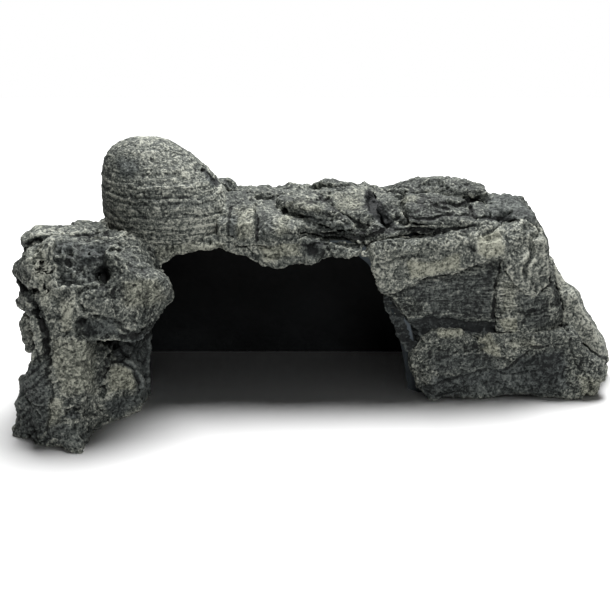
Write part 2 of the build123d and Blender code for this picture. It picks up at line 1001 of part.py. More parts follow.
pieces = [
    cave_shell,
    left_pillar,
    pillar_head,
    pillar_toe,
    flank_chip_upper,
    flank_chip_lower,
    foot_stone,
    pillar_cap,
    boulder,
    chock_stone,
    spring_stone,
    brow_lip,
    stone_bed,
    wedge_stone,
    brow_stone,
    long_stone,
    saddle_stone,
    fin_stone,
    crown_slab,
    top_slab,
    corner_slab,
    back_slab,
    buttress_ledge,
    buttress_panel,
    buttress_toe,
    shoulder_stone,
    buttress_column,
    end_slab,
    left_flank_slab,
    *rear_stones,
]
os.makedirs("parts", exist_ok=True)
for piece in pieces:
    export_step(piece.part, f"parts/{piece.part.label}.step")
    print(piece.part.label, len(piece.part.solids()), "solids", round(piece.part.volume / 1000, 1), "cm3")
print("total", round(sum(piece.part.volume for piece in pieces) / 1000), "cm3")
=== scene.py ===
"""Resin cave ornament: the looks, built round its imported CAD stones."""

import math

import bpy
import numpy as np
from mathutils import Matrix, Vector


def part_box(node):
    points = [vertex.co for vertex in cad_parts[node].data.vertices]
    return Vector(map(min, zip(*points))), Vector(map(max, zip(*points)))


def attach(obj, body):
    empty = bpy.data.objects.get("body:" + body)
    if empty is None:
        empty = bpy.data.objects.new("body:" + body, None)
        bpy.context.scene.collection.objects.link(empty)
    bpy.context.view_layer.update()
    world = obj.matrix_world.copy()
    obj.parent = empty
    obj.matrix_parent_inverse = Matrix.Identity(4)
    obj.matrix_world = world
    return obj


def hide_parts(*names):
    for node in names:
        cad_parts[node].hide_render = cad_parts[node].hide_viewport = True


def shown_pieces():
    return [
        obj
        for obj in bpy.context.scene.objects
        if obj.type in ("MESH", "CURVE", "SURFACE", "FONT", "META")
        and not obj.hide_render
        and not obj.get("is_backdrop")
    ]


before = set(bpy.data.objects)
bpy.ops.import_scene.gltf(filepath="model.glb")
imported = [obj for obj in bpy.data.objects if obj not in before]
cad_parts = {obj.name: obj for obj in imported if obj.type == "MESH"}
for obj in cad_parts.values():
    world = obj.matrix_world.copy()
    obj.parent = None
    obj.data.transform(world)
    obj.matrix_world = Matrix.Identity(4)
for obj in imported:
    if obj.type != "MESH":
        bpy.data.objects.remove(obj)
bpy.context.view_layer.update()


# ---------------------------------------------------------------- Cave shell
# The smooth dark shell that makes the chamber and the rim round its mouth. It is cast in
# grey-black resin and left bare inside, where its colour is taken down to near black as
# painted shade; its outside takes some of the stones' grey paint.


class Coat:
    """A procedural finish in the making: its shader and the texture steps that feed it."""

    def __init__(self, name):
        self.mat = bpy.data.materials.new(name)
        self.mat.use_nodes = True
        self.nodes, self.links = self.mat.node_tree.nodes, self.mat.node_tree.links
        self.shader = self.nodes["Principled BSDF"]
        self.place = self.nodes.new("ShaderNodeTexCoord").outputs["Object"]

    def feed(self, socket, value):
        if isinstance(value, (int, float)):
            socket.default_value = value
        elif isinstance(value, tuple):
            socket.default_value = (*value, 1)
        else:
            self.links.new(value, socket)

    def noise(self, scale, detail, rough=0.6, stretch=(1, 1, 1)):
        """Cloudy noise about 0, with scale features to the metre."""
        mapping = self.nodes.new("ShaderNodeMapping")
        mapping.inputs["Scale"].default_value = stretch
        self.links.new(self.place, mapping.inputs["Vector"])
        cloud = self.nodes.new("ShaderNodeTexNoise")
        cloud.inputs["Scale"].default_value = scale
        cloud.inputs["Detail"].default_value = detail
        cloud.inputs["Roughness"].default_value = rough
        self.links.new(mapping.outputs["Vector"], cloud.inputs["Vector"])
        return self.sum("SUBTRACT", cloud.outputs["Fac"], 0.5)

    def sum(self, kind, a, b):
        step = self.nodes.new("ShaderNodeMath")
        step.operation = kind
        self.feed(step.inputs[0], a)
        self.feed(step.inputs[1], b)
        return step.outputs[0]

    def blend(self, *shares):
        """The total of values, each times its share."""
        total = 0.0
        for value, share in shares:
            total = self.sum("ADD", total, self.sum("MULTIPLY", value, share))
        return total

    def carried(self, name):
        """A value that the mesh carries at each point."""
        step = self.nodes.new("ShaderNodeAttribute")
        step.attribute_name = name
        return step.outputs["Fac"]

    def window(self, value, low, high):
        """0 below low, 1 above high, eased between."""
        step = self.nodes.new("ShaderNodeMapRange")
        step.interpolation_type = "SMOOTHSTEP"
        step.inputs["From Min"].default_value = low
        step.inputs["From Max"].default_value = high
        self.links.new(value, step.inputs["Value"])
        return step.outputs["Result"]

    def ramp(self, value, *stops):
        """A colour for a value, from pairs of place and colour."""
        step = self.nodes.new("ShaderNodeValToRGB")
        band = step.color_ramp
        while len(band.elements) < len(stops):
            band.elements.new(0.5)
        for element, (at, colour) in zip(band.elements, stops):
            element.position = at
            element.color = (*colour, 1)
        self.links.new(value, step.inputs["Fac"])
        return step.outputs["Color"]

    def mix(self, share, a, b):
        step = self.nodes.new("ShaderNodeMix")
        step.data_type = "RGBA"
        self.feed(step.inputs["Factor"], share)
        self.feed(step.inputs["A"], a)
        self.feed(step.inputs["B"], b)
        return step.outputs["Result"]

    def bump(self, height, depth, strength):
        step = self.nodes.new("ShaderNodeBump")
        step.inputs["Strength"].default_value = strength
        step.inputs["Distance"].default_value = depth
        self.links.new(height, step.inputs["Height"])
        self.links.new(step.outputs["Normal"], self.shader.inputs["Normal"])


bare = Coat("dark_resin_and_painted_shade")
flow, dust = bare.noise(28, 3), bare.noise(600, 3)
bare_tone = bare.window(bare.blend((flow, 1.0), (dust, 0.5)), -0.2, 0.2)
# Near black inside the chamber: painted shade, darker than the resin itself.
inner_painted_shade = bare.mix(bare_tone, (0.0016, 0.0019, 0.0021), (0.004, 0.0046, 0.005))
outer = bare.mix(bare_tone, (0.048, 0.058, 0.066), (0.076, 0.089, 0.099))
rim_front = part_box("cave_shell")[0][1]
rim_fade = (0.003, 0.012)  # behind the rim's front, where its blue skin gives way to the near-black painted shade inside
inward = bare.nodes.new("ShaderNodeSeparateXYZ")
bare.links.new(bare.place, inward.inputs["Vector"])
behind_rim = bare.window(inward.outputs["Y"], rim_front + rim_fade[0], rim_front + rim_fade[1])
facing = bare.nodes.new("ShaderNodeSeparateXYZ")
bare.links.new(bare.place.node.outputs["Normal"], facing.inputs["Vector"])
outward = bare.window(bare.sum("ADD", facing.outputs["Y"], facing.outputs["Z"]), 0.4, 0.8)
overspray = bare.mix(bare_tone, (0.024, 0.027, 0.025), (0.065, 0.070, 0.063))
lining_and_painted_shade = bare.mix(behind_rim, outer, inner_painted_shade)
bare.feed(bare.shader.inputs["Base Color"], bare.mix(outward, lining_and_painted_shade, overspray))
bare.feed(bare.shader.inputs["Roughness"], bare.sum("ADD", bare.sum("MULTIPLY", dust, 0.5), 0.55))
bare.shader.inputs["Specular IOR Level"].default_value = 0.1
bare.bump(bare.blend((flow, 1.0), (dust, 0.15)), 0.004, 0.35)

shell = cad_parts["cave_shell"]
shell.data.materials.clear()
shell.data.materials.append(bare.mat)


# ---------------------------------------------------------------- Left pillar
# The stout leg left of the mouth, with a proud head. Both are stone-filled resin cast from
# a carved master, with pits and cracks in the mould, then painted and dry-brushed.

GRADIENTS = np.random.default_rng(11).normal(size=(256, 3))
GRADIENTS /= np.linalg.norm(GRADIENTS, axis=1, keepdims=True)
CORNERS = [(a, b, c) for a in (0, 1) for b in (0, 1) for c in (0, 1)]
AROUND = [(a, b, c) for a in (-1, 0, 1) for b in (-1, 0, 1) for c in (-1, 0, 1)]


def ease(x, low, high):
    t = np.clip((x - low) / (high - low), 0, 1)
    return t * t * (3 - 2 * t)


def scatter(i, j, k, seed):
    """A repeatable number from 0 to 255 for each cell of a grid, mixed with large primes."""
    h = (i * 73856093) ^ (j * 19349663) ^ (k * 83492791) ^ (seed * 2654435)
    h = (h ^ (h >> 13)) * 1274126177
    return ((h ^ (h >> 16)) & 255).astype(np.int64)


def swell(p, size, seed):
    """Smooth lumps of about the given size in metres, from -1 to 1, at points p."""
    q = p / size
    cell = np.floor(q).astype(np.int64)
    f = q - cell
    u = f * f * f * (f * (f * 6 - 15) + 10)
    total = np.zeros(len(p))
    for a, b, c in CORNERS:
        g = GRADIENTS[scatter(cell[:, 0] + a, cell[:, 1] + b, cell[:, 2] + c, seed)]
        w = np.abs(1 - a - u[:, 0]) * np.abs(1 - b - u[:, 1]) * np.abs(1 - c - u[:, 2])
        total += w * ((f[:, 0] - a) * g[:, 0] + (f[:, 1] - b) * g[:, 1] + (f[:, 2] - c) * g[:, 2])
    return np.clip(1.6 * total, -1, 1)


def stir(p, size, seed):
    """Three swells at once, to bend a pattern with."""
    return np.stack([swell(p, size, seed + k) for k in range(3)], 1)


def pits(p, spacing, radius, share, seed):
    """0 to 1, 1 in the middle of round pits scattered about the given distance apart."""
    q = p / spacing
    cell = np.floor(q).astype(np.int64)
    nearest = np.zeros(len(p))
    for a, b, c in AROUND:
        i, j, k = cell[:, 0] + a, cell[:, 1] + b, cell[:, 2] + c
        h = scatter(i, j, k, seed)
        g = GRADIENTS[scatter(i, j, k, seed + 7)]
        x = i + 0.5 + 0.4 * g[:, 0] - q[:, 0]
        y = j + 0.5 + 0.4 * g[:, 1] - q[:, 1]
        z = k + 0.5 + 0.4 * g[:, 2] - q[:, 2]
        size = radius * (0.5 + 0.8 * scatter(i, j, k, seed + 3) / 255)
        d = np.sqrt(x * x + y * y + z * z) * spacing / size
        nearest = np.maximum(nearest, np.where(h < share * 255, np.clip(1.6 - 1.6 * d, 0, 1), 0))
    return nearest


def facets(p, size, seed):
    """Chipped faces about the given size across, tilted every way, from about -1 to 1."""
    q = p / size
    cell = np.floor(q).astype(np.int64)
    total, weight = np.zeros(len(p)), np.zeros(len(p))
    for a, b, c in AROUND:
        i, j, k = cell[:, 0] + a, cell[:, 1] + b, cell[:, 2] + c
        g = GRADIENTS[scatter(i, j, k, seed)]
        tilt = GRADIENTS[scatter(i, j, k, seed + 1)]
        x = q[:, 0] - i - 0.5 - 0.42 * g[:, 0]
        y = q[:, 1] - j - 0.5 - 0.42 * g[:, 1]
        z = q[:, 2] - k - 0.5 - 0.42 * g[:, 2]
        w = np.exp(-14.0 * (x * x + y * y + z * z))
        total += w * (0.5 * g[:, 1] + 1.3 * (x * tilt[:, 0] + y * tilt[:, 1] + z * tilt[:, 2]))
        weight += w
    return total / (weight + 1e-9)


def wander(p):
    """How far each point of the assembled rock drifts, so that no joint or edge runs straight.

    The drift fades out at the floor, and most of it close to the boulder, which stays round.
    """
    broad, near = 0.0028, 0.0013
    drift = broad * stir(p, 0.030, 61) + near * stir(p, 0.012, 71)
    floor_fade, boulder_fade, left_there = 0.012, 0.015, 0.2
    drift[:, 2] *= ease(p[:, 2], 0.0, floor_fade)
    low, high = (np.array(v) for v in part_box("boulder"))
    outside = np.linalg.norm(np.maximum(0, np.maximum(low - p, p - high)), axis=1)
    return drift * (left_there + (1 - left_there) * ease(outside, 0.0, boulder_fade))[:, None]


def layers(p, direction, pitch, warp, seed):
    """Stepped beds of uneven thickness across a direction, from -1 to 1."""
    d = np.array(direction, float)
    d /= np.linalg.norm(d)
    s = (p @ d + warp * swell(p, 0.022, seed) + 0.35 * warp * swell(p, 0.007, seed + 1)) / pitch
    band = np.floor(s).astype(np.int64)
    level = np.zeros_like(band)
    here = scatter(band, level, level, seed + 5) / 127.5 - 1
    above = scatter(band + 1, level, level, seed + 5) / 127.5 - 1
    return here + (above - here) * ease(s - band, 0.72, 1.0)


# The way that marks face, forward and 20 degrees above level, and the way up across them.
FACE = np.array([0, -0.94, 0.342])
UP = np.array([0, 0.342, 0.94])


class Rock:
    """A dense copy of a CAD stone's mesh, with points grit millimetres apart.

    Marks are cut into its front. Their places are shares of its width and height as seen
    from there, and their widths, radii and depths are in millimetres.
    """

    def __init__(self, node, grit):
        self.node = node
        self.low, self.high = (np.array(v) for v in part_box(node))
        self.obj = bpy.data.objects.new("rock_" + node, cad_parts[node].data.copy())
        bpy.context.scene.collection.objects.link(self.obj)
        self.dabs, self.washes_and_painted_shade = [], []
        self.remesh(grit)
        self.relief = np.zeros(len(self.p))
        self.facing = ease(self.normals(3) @ FACE, 0.0, 0.3)

    def remesh(self, grit):
        """New even quads over the same shape, grit millimetres apart."""
        even = self.obj.modifiers.new("even", "REMESH")
        even.mode = "VOXEL"
        even.voxel_size = grit / 1000
        bpy.context.view_layer.update()
        shaped = self.obj.evaluated_get(bpy.context.evaluated_depsgraph_get())
        self.mesh = bpy.data.meshes.new_from_object(shaped)
        self.obj.modifiers.clear()
        self.obj.data = self.mesh
        n = len(self.mesh.vertices)
        self.p = np.empty(n * 3)
        self.mesh.vertices.foreach_get("co", self.p)
        self.p = self.p.reshape(-1, 3)
        self.e = np.empty(len(self.mesh.edges) * 2, np.int64)
        self.mesh.edges.foreach_get("vertices", self.e)
        self.e = self.e.reshape(-1, 2)
        loops = np.empty(len(self.mesh.loops), np.int64)
        self.mesh.loops.foreach_get("vertex_index", loops)
        self.quads = loops.reshape(-1, 4)
        self.degree = np.maximum(np.bincount(self.e.ravel(), minlength=n), 1).astype(float)

    def soften(self, values, rounds):
        """Values averaged with their neighbours a number of times."""
        values = values.copy()
        flat = values.reshape(len(values), -1)
        a, b = self.e[:, 0], self.e[:, 1]
        n = len(flat)
        for _ in range(rounds):
            for c in range(flat.shape[1]):
                x = flat[:, c]
                s = np.bincount(a, x[b], n) + np.bincount(b, x[a], n)
                flat[:, c] = 0.5 * x + 0.5 * s / self.degree
        return values

    def normals(self, rounds=0):
        q = self.p[self.quads]
        face = np.cross(q[:, 2] - q[:, 0], q[:, 3] - q[:, 1])
        total = np.zeros_like(self.p)
        for corner in range(4):
            for c in range(3):
                total[:, c] += np.bincount(self.quads[:, corner], face[:, c], len(self.p))
        total = self.soften(total, rounds)
        return total / (np.linalg.norm(total, axis=1, keepdims=True) + 1e-12)

    def push(self, amount, rounds):
        """Move every point along its softened normal by its amount, in metres."""
        self.p = self.p + self.normals(rounds) * np.asarray(amount)[:, None]

    def spots(self, places):
        """Places on the front, as points seen from there, in millimetres."""
        low, high = (np.array([v[0], v @ UP]) for v in (self.low, self.high))
        return 1000 * (low + (high - low) * np.array(places))

    def seen(self, p):
        """Points as they are seen from the front, in millimetres, with a ragged edge to them."""
        ragged = 0.9 * swell(p, 0.007, 91) + 0.45 * swell(p, 0.0025, 92)
        return 1000 * np.stack([p[:, 0], p @ UP], 1) + ragged[:, None] * (0.8, 1.0)

    def from_line(self, q, places, closed=False):
        """How far points q are from a line drawn on the front, less than 0 inside a closed one."""
        spots = self.spots(places)
        ends = np.roll(spots, -1, 0)
        nearest = np.full(len(q), np.inf)
        inside = np.zeros(len(q), bool)
        for a, b in list(zip(spots, ends))[: None if closed else -1]:
            run = b - a
            t = np.clip(((q - a) @ run) / (run @ run + 1e-9), 0, 1)
            nearest = np.minimum(nearest, np.linalg.norm(q - a - t[:, None] * run, axis=1))
            crosses = (a[1] > q[:, 1]) != (b[1] > q[:, 1])
            inside ^= crosses & (q[:, 0] < a[0] + (q[:, 1] - a[1]) * run[0] / (run[1] + 1e-9))
        return np.where(inside & closed, -nearest, nearest)

    def cuts(self, *lines):
        """Cracks, each a width, a depth and the places it runs through; ridges below 0 deep."""
        for width, depth, *places in lines:
            d = self.from_line(self.seen(self.p), places)
            self.relief -= depth * self.facing * (1 - ease(d, 0.15 * width, width))
            self.washes_and_painted_shade.append((places, width, depth))

    def dent(self, place, radii, depth):
        """A rounded hollow."""
        d = np.linalg.norm((self.seen(self.p) - self.spots([place])[0]) / radii, axis=1)
        self.relief -= depth * self.facing * (1 - ease(d, 0.35, 1.1))
        self.washes_and_painted_shade.append(([place, place], 0.8 * min(radii), depth))

    def boss(self, place, radii, height):
        """A rounded lump."""
        d = np.linalg.norm((self.seen(self.p) - self.spots([place])[0]) / radii, axis=1)
        self.relief += height * self.facing * (1 - ease(d, 0.2, 1.2))

    def crater(self, place, radius, depth):
        """A round pit with a raised ring and a seed of stone left in it."""
        plain = 1000 * np.stack([self.p[:, 0], self.p @ UP], 1)
        d = np.linalg.norm(plain - self.spots([place])[0], axis=1) / radius
        ring = 0.35 * np.exp(-(((d - 1.25) / 0.28) ** 2)) + 0.5 * np.exp(-((d / 0.3) ** 2))
        self.relief += depth * self.facing * (ring - (1 - ease(d, 0.6, 1.1)))

    def plate(self, places, depth, edge=1.0):
        """A sunk panel inside a closed line, or a proud one where the depth is below 0."""
        d = self.from_line(self.seen(self.p), places, True)
        self.relief -= depth * self.facing * (1 - ease(d, -edge, edge))

    def paint(self, kind, *patches):
        """Pale patches, and slate-blue patches, some of them painted shade in recesses, for when
        the stone is finished.

        Each is how far its edge fades, its strength and the places round it.
        """
        for spread, strength, *places in patches:
            self.dabs.append((kind, places, spread, strength))

    def finish(self):
        """Measure the hollows, lay the paint patches and the painted shade in the cuts, and hand
        the mesh back.
        """
        self.p[:, 2] = np.maximum(self.p[:, 2], 0.0)
        self.mesh.vertices.foreach_set("co", self.p.ravel())
        n = self.normals()
        carried = {}
        for name, rounds in (("hollow_fine", 5), ("hollow_broad", 45)):
            hollow = np.einsum("ij,ij->i", self.soften(self.p, rounds) - self.p, n)
            carried[name] = np.clip(hollow / np.percentile(np.abs(hollow), 90), -1, 1)
        home = self.seen(self.p - wander(self.p))
        facing = ease(n @ FACE, -0.2, 0.2)
        for kind in ("pale", "slate_and_painted_shade", "wash_and_painted_shade"):
            carried[kind] = np.zeros(len(self.p))
        for kind, places, spread, strength in self.dabs:
            edge = ease(self.from_line(home, places, True), -spread, spread)
            carried[kind] = np.maximum(carried[kind], strength * facing * (1 - edge))
        shallow, deep = 0.5, 3.0
        # Cracks and dents: dark wash and painted shade, the deeper cuts darker.
        for places, width, depth in self.washes_and_painted_shade:
            edge = ease(self.from_line(home, places), 0.3 * width, 1.3 * width)
            run = ease(depth, shallow, deep) * facing * (1 - edge)
            carried["wash_and_painted_shade"] = np.maximum(carried["wash_and_painted_shade"], run)
        for name, values in carried.items():
            layer = self.mesh.attributes.new(name, "FLOAT", "POINT")
            layer.data.foreach_set("value", values.astype(np.float32))
        self.mesh.shade_smooth()
        self.mesh.update()


def carve(rock, coarse=1.0, cracks=1.0, proud=0.7, grit=0.52, out=None):
    """The relief that every stone shares: drift, chipped faces, lumps and cracks.

    It stands proud by that many millimetres, all round or only where the stone faces out.
    """
    home = rock.p
    rock.p = home + wander(home)
    bent = home + 0.004 * stir(home, 0.016, 31)
    big = 2.4 * facets(bent, 0.024, 1) + 1.1 * facets(bent, 0.0105, 2)
    lumps = 2.1 * (np.abs(swell(bent * (0.85, 0.85, 1.2), 0.015, 3)) - 0.28)
    lumps += 1.0 * (np.abs(swell(bent * (0.85, 0.85, 1.2), 0.0068, 4)) - 0.28)
    rift = 1 - ease(np.abs(swell(bent * (0.75, 0.75, 1.35), 0.026, 6)), 0.0, 0.10)
    rift = -2.6 * rift * ease(swell(home, 0.03, 8), -0.1, 0.3)
    relief = proud + coarse * (big + lumps) + cracks * rift + rock.relief
    if out:
        relief *= ease(rock.normals(6) @ np.array(out), 0.0, 0.4)
    rock.push(relief / 1000, 4)
    rock.mesh.vertices.foreach_set("co", rock.p.ravel())
    rock.mesh.update()
    rock.remesh(grit)


def weather(rock, beds=0.3, pitch=3.0, bedding=(0, 0, 1), fine=1.0, pitting=1.0, veins=1.0):
    """The finer relief: small chips, raised veins, bedding and pits."""
    p = rock.p
    bent = p + 0.0012 * stir(p, 0.005, 81)
    small = 0.55 * facets(bent, 0.0042, 12) + 0.40 * swell(bent, 0.0026, 13)
    small += 0.26 * swell(p, 0.0014, 14)
    vein = 1 - ease(np.abs(swell(bent * (0.8, 0.8, 1.2), 0.0075, 15)), 0.0, 0.16)
    vein = 0.42 * vein * ease(swell(p, 0.012, 16), -0.3, 0.4)
    thread = 1 - ease(np.abs(swell(bent, 0.0036, 17)), 0.0, 0.22)
    vein += 0.24 * thread * ease(swell(p, 0.009, 18), -0.4, 0.3)
    step = 0.6 * layers(p, bedding, pitch / 1000, 0.003, 21)
    hole = -1.4 * pits(p, 0.0075, 0.0011, 0.5, 41) - 0.9 * pits(p, 0.0036, 0.0006, 0.4, 47)
    rock.push((fine * small + veins * vein + beds * step + pitting * hole) / 1000, 1)


def rock_coat(name, lift, streak=0.5, grain=(0.4, 0.4, 1.7), webbing=0.16):
    """Dry-brushed paint: black wash in the hollows, grey-green over it, pale on the ridges,
    and dark wash with painted shade in the cracks and dents, darker the deeper they are cut.

    A tone of 0 is bare black wash and 1 is pale dry-brush. Lift moves the whole stone along it.
    """
    coat = Coat(name)
    fine, broad = coat.carried("hollow_fine"), coat.carried("hollow_broad")
    pale, slate_and_painted_shade, wash_and_painted_shade = coat.carried("pale"), coat.carried("slate_and_painted_shade"), coat.carried("wash_and_painted_shade")
    patch, mottle = coat.noise(34, 2), coat.noise(170, 4)
    crumb, speck = coat.noise(640, 2, 0.6), coat.noise(1150, 1, 0.5)
    streaks = coat.noise(620, 2, 0.6, grain)
    web = coat.window(coat.sum("ABSOLUTE", coat.noise(420, 3), 0), 0.025, 0.0)
    pores = coat.window(coat.noise(760, 1, 0.5), 0.09, 0.16)
    flecks = coat.window(coat.noise(1000, 1, 0.5, (1.0, 1.1, 0.9)), 0.08, 0.16)
    calm = coat.sum("SUBTRACT", 1.0, coat.sum("MULTIPLY", slate_and_painted_shade, 0.28))
    rough = coat.blend((crumb, 1.0), (speck, 0.9), (streaks, streak), (web, webbing))
    rough = coat.sum("ADD", rough, coat.blend((fine, -0.22), (flecks, 0.17), (pores, -0.30)))
    tone = coat.blend((patch, 0.8), (mottle, 0.7), (broad, -0.11), (pale, 0.15), (slate_and_painted_shade, -0.20))
    tone = coat.sum("ADD", tone, coat.sum("MULTIPLY", rough, calm))
    tone = coat.sum("ADD", tone, coat.sum("MULTIPLY", wash_and_painted_shade, -0.6))
    tone = coat.sum("ADD", tone, 0.5 + lift)
    grey = coat.ramp(
        tone,
        (0.0, (0.0035, 0.004, 0.0038)),
        (0.25, (0.0195, 0.0228, 0.0205)),
        (0.5, (0.061, 0.067, 0.060)),
        (0.75, (0.135, 0.142, 0.124)),
        (1.0, (0.30, 0.305, 0.262)),
    )
    cream = coat.ramp(tone, (0.1, (0.024, 0.024, 0.017)), (0.9, (0.28, 0.28, 0.205)))
    cool = coat.ramp(tone, (0.0, (0.007, 0.009, 0.0095)), (0.9, (0.15, 0.168, 0.166)))
    cream_share = coat.sum("MULTIPLY", coat.window(pale, 0.2, 1.2), 0.4)
    cool_share = coat.sum("MULTIPLY", coat.window(slate_and_painted_shade, 0.1, 1.4), 0.55)
    colour = coat.mix(cool_share, coat.mix(cream_share, grey, cream), cool)
    coat.feed(coat.shader.inputs["Base Color"], colour)
    dullness = coat.sum("ADD", coat.sum("MULTIPLY", crumb, 0.3), 0.72)
    coat.feed(coat.shader.inputs["Roughness"], dullness)
    coat.shader.inputs["Specular IOR Level"].default_value = 0.25
    coat.bump(coat.blend((crumb, 1.0), (speck, 0.6), (pores, -0.25)), 0.0009, 0.7)
    return coat.mat


def place(rock, coat, slot_name):
    """Finish a stone, paint it and stand it in for its CAD node."""
    rock.finish()
    rock.mesh.materials.clear()
    rock.mesh.materials.append(coat)
    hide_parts(rock.node)
    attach(rock.obj, "root")


grey_rock = rock_coat("painted_rock_grey", -0.065)

head = Rock("pillar_head", 0.9)
head.plate([
    (0.29, 0.79), (0.37, 0.81), (0.49, 0.82), (0.6, 0.82), (0.65, 0.66), (0.64, 0.55),
    (0.54, 0.52), (0.42, 0.5), (0.32, 0.49), (0.3, 0.63)
], 3.2)
head.dent((0.62, 0.58), (5, 4.4), 7.5)
head.dent((0.68, 0.75), (2.3, 3), 4)
head.crater((0.32, 0.73), 2.3, 3)
head.crater((0.4, 0.74), 2.8, 3.4)
head.crater((0.39, 0.66), 1.7, 1.5)
head.dent((0.32, 0.63), (1.6, 2.6), 1.5)
head.boss((0.87, 0.46), (12, 8), 2.2)
head.boss((0.37, 0.27), (5.5, 11), 2.2)
head.boss((0.56, 0.39), (11, 7), 1.8)
head.plate([
    (0.46, 0.24), (0.7, 0.25), (0.73, 0.13), (0.7, 0.04), (0.53, 0.05), (0.44, 0.08)
], 2.6, 1.2)
head.dent((0.46, 0.19), (2.2, 3), 2.5)
head.plate([
    (0.93, 0.23), (1.06, 0.33), (1.06, 0.01), (0.7, 0.01), (0.79, 0.1), (0.84, 0.16)
], 4, 1.2)
head.crater((0.16, 0.28), 2.4, 2.6)
head.boss((0.2, 0.44), (5, 16), 1.4)
for spot in ((0.81, 0.49), (0.85, 0.51), (0.9, 0.48), (0.94, 0.44), (0.83, 0.43)):
    head.crater(spot, 1, 1)
head.dent((0.39, 0.66), (1.6, 1.4), 1.5)
head.crater((0.67, 0.43), 1.2, 1.4)
head.dent((0.48, 0.6), (2, 2.4), 1.2)
head.cuts(
    (1.3, 2.6, (0.07, 0.8), (0.17, 0.84), (0.29, 0.87), (0.42, 0.87), (0.57, 0.9)),
    (0.8, 0.9, (0.31, 0.82), (0.45, 0.84), (0.57, 0.85)),
    (1, 1, (0.7, 0.47), (0.69, 0.36), (0.69, 0.22)),
    (1, -1.2, (0.32, 0.47), (0.42, 0.48), (0.54, 0.51)),
    (1.1, -1.3, (0.46, 0.27), (0.58, 0.26), (0.7, 0.27)),
    (2.2, 2.8, (0.01, 0.51), (0.1, 0.4), (0.15, 0.32), (0.19, 0.19), (0.21, 0.05)),
    (1.1, 1.6, (0.69, 0.22), (0.73, 0.13), (0.76, 0.1)),
    (2, 2.6, (0.7, 0.07), (0.79, 0.08), (0.88, 0.13), (0.94, 0.19)),
    (0.8, 0.9, (0.49, 0.5), (0.51, 0.39), (0.49, 0.32)),
    (0.8, 0.9, (0.58, 0.49), (0.62, 0.39), (0.69, 0.33)),
    (0.9, -0.8, (0.32, 0.05), (0.43, 0.02), (0.56, 0.04)),
)
head.paint("pale",
    (3, 0.9, (0.75, 0.53), (0.94, 0.56), (1, 0.37), (0.89, 0.29), (0.73, 0.32)),
    (2.5, 0.8, (0.32, 0.39), (0.44, 0.41), (0.41, 0.05), (0.32, 0.07)),
    (3, 0.6, (0.1, 0.78), (0.24, 0.79), (0.28, 0.44), (0.22, 0.21), (0.15, 0.4)),
)
# Slate patches; the first, over the sunk plate under the overhang, is painted shade.
head.paint("slate_and_painted_shade",
    (1.5, 0.6, (0.29, 0.79), (0.37, 0.81), (0.6, 0.82), (0.65, 0.66), (0.64, 0.55), (0.42, 0.5),
     (0.32, 0.49)),
    (1.5, 1.3, (0.45, 0.79), (0.61, 0.79), (0.63, 0.66), (0.48, 0.64)),
    (1.5, 0.8, (0.32, 0.58), (0.39, 0.6), (0.41, 0.5), (0.33, 0.5)),
    (2, 0.9, (0.47, 0.22), (0.68, 0.24), (0.7, 0.08), (0.49, 0.08)),
    (1.5, 1.2, (0.8, 0.06), (0.95, 0.16), (0.95, -0.36), (0.82, -0.39), (0.77, -0.2),
     (0.69, -0.12), (0.64, 0.01)),
    (0.8, 1.1, (0.3, 0.76), (0.4, 0.78), (0.42, 0.71), (0.33, 0.69)),
)
carve(head, coarse=1.1)
weather(head)
place(head, grey_rock, "rock_grey")

trunk = Rock("left_pillar", 0.9)
trunk.plate([
    (0.54, 0.57), (0.78, 0.58), (0.83, 0.5), (0.8, 0.45), (0.61, 0.47), (0.52, 0.48)
], 2.6, 1.2)
trunk.crater((0.17, 0.59), 2.4, 2.6)
trunk.dent((0.24, 0.41), (2.2, 4.6), 4)
trunk.boss((0.49, 0.43), (12, 9), 1.6)
trunk.plate([
    (0.73, 0.46), (1.07, 0.52), (1.07, 0.27), (0.87, 0.22), (0.85, 0.32), (0.73, 0.36)
], 2.4, 1.6)
trunk.dent((0.73, 0.46), (3, 3.4), 4)
trunk.plate([
    (0.37, 0.13), (0.38, 0.17), (0.46, 0.18), (0.53, 0.17), (0.55, 0.12), (0.48, 0.14)
], 3.4, 0.6)
trunk.crater((0.44, 0.06), 1.6, 1.6)
trunk.crater((0.54, 0.06), 1.4, 1.4)
trunk.crater((0.5, 0.1), 1.2, 1.2)
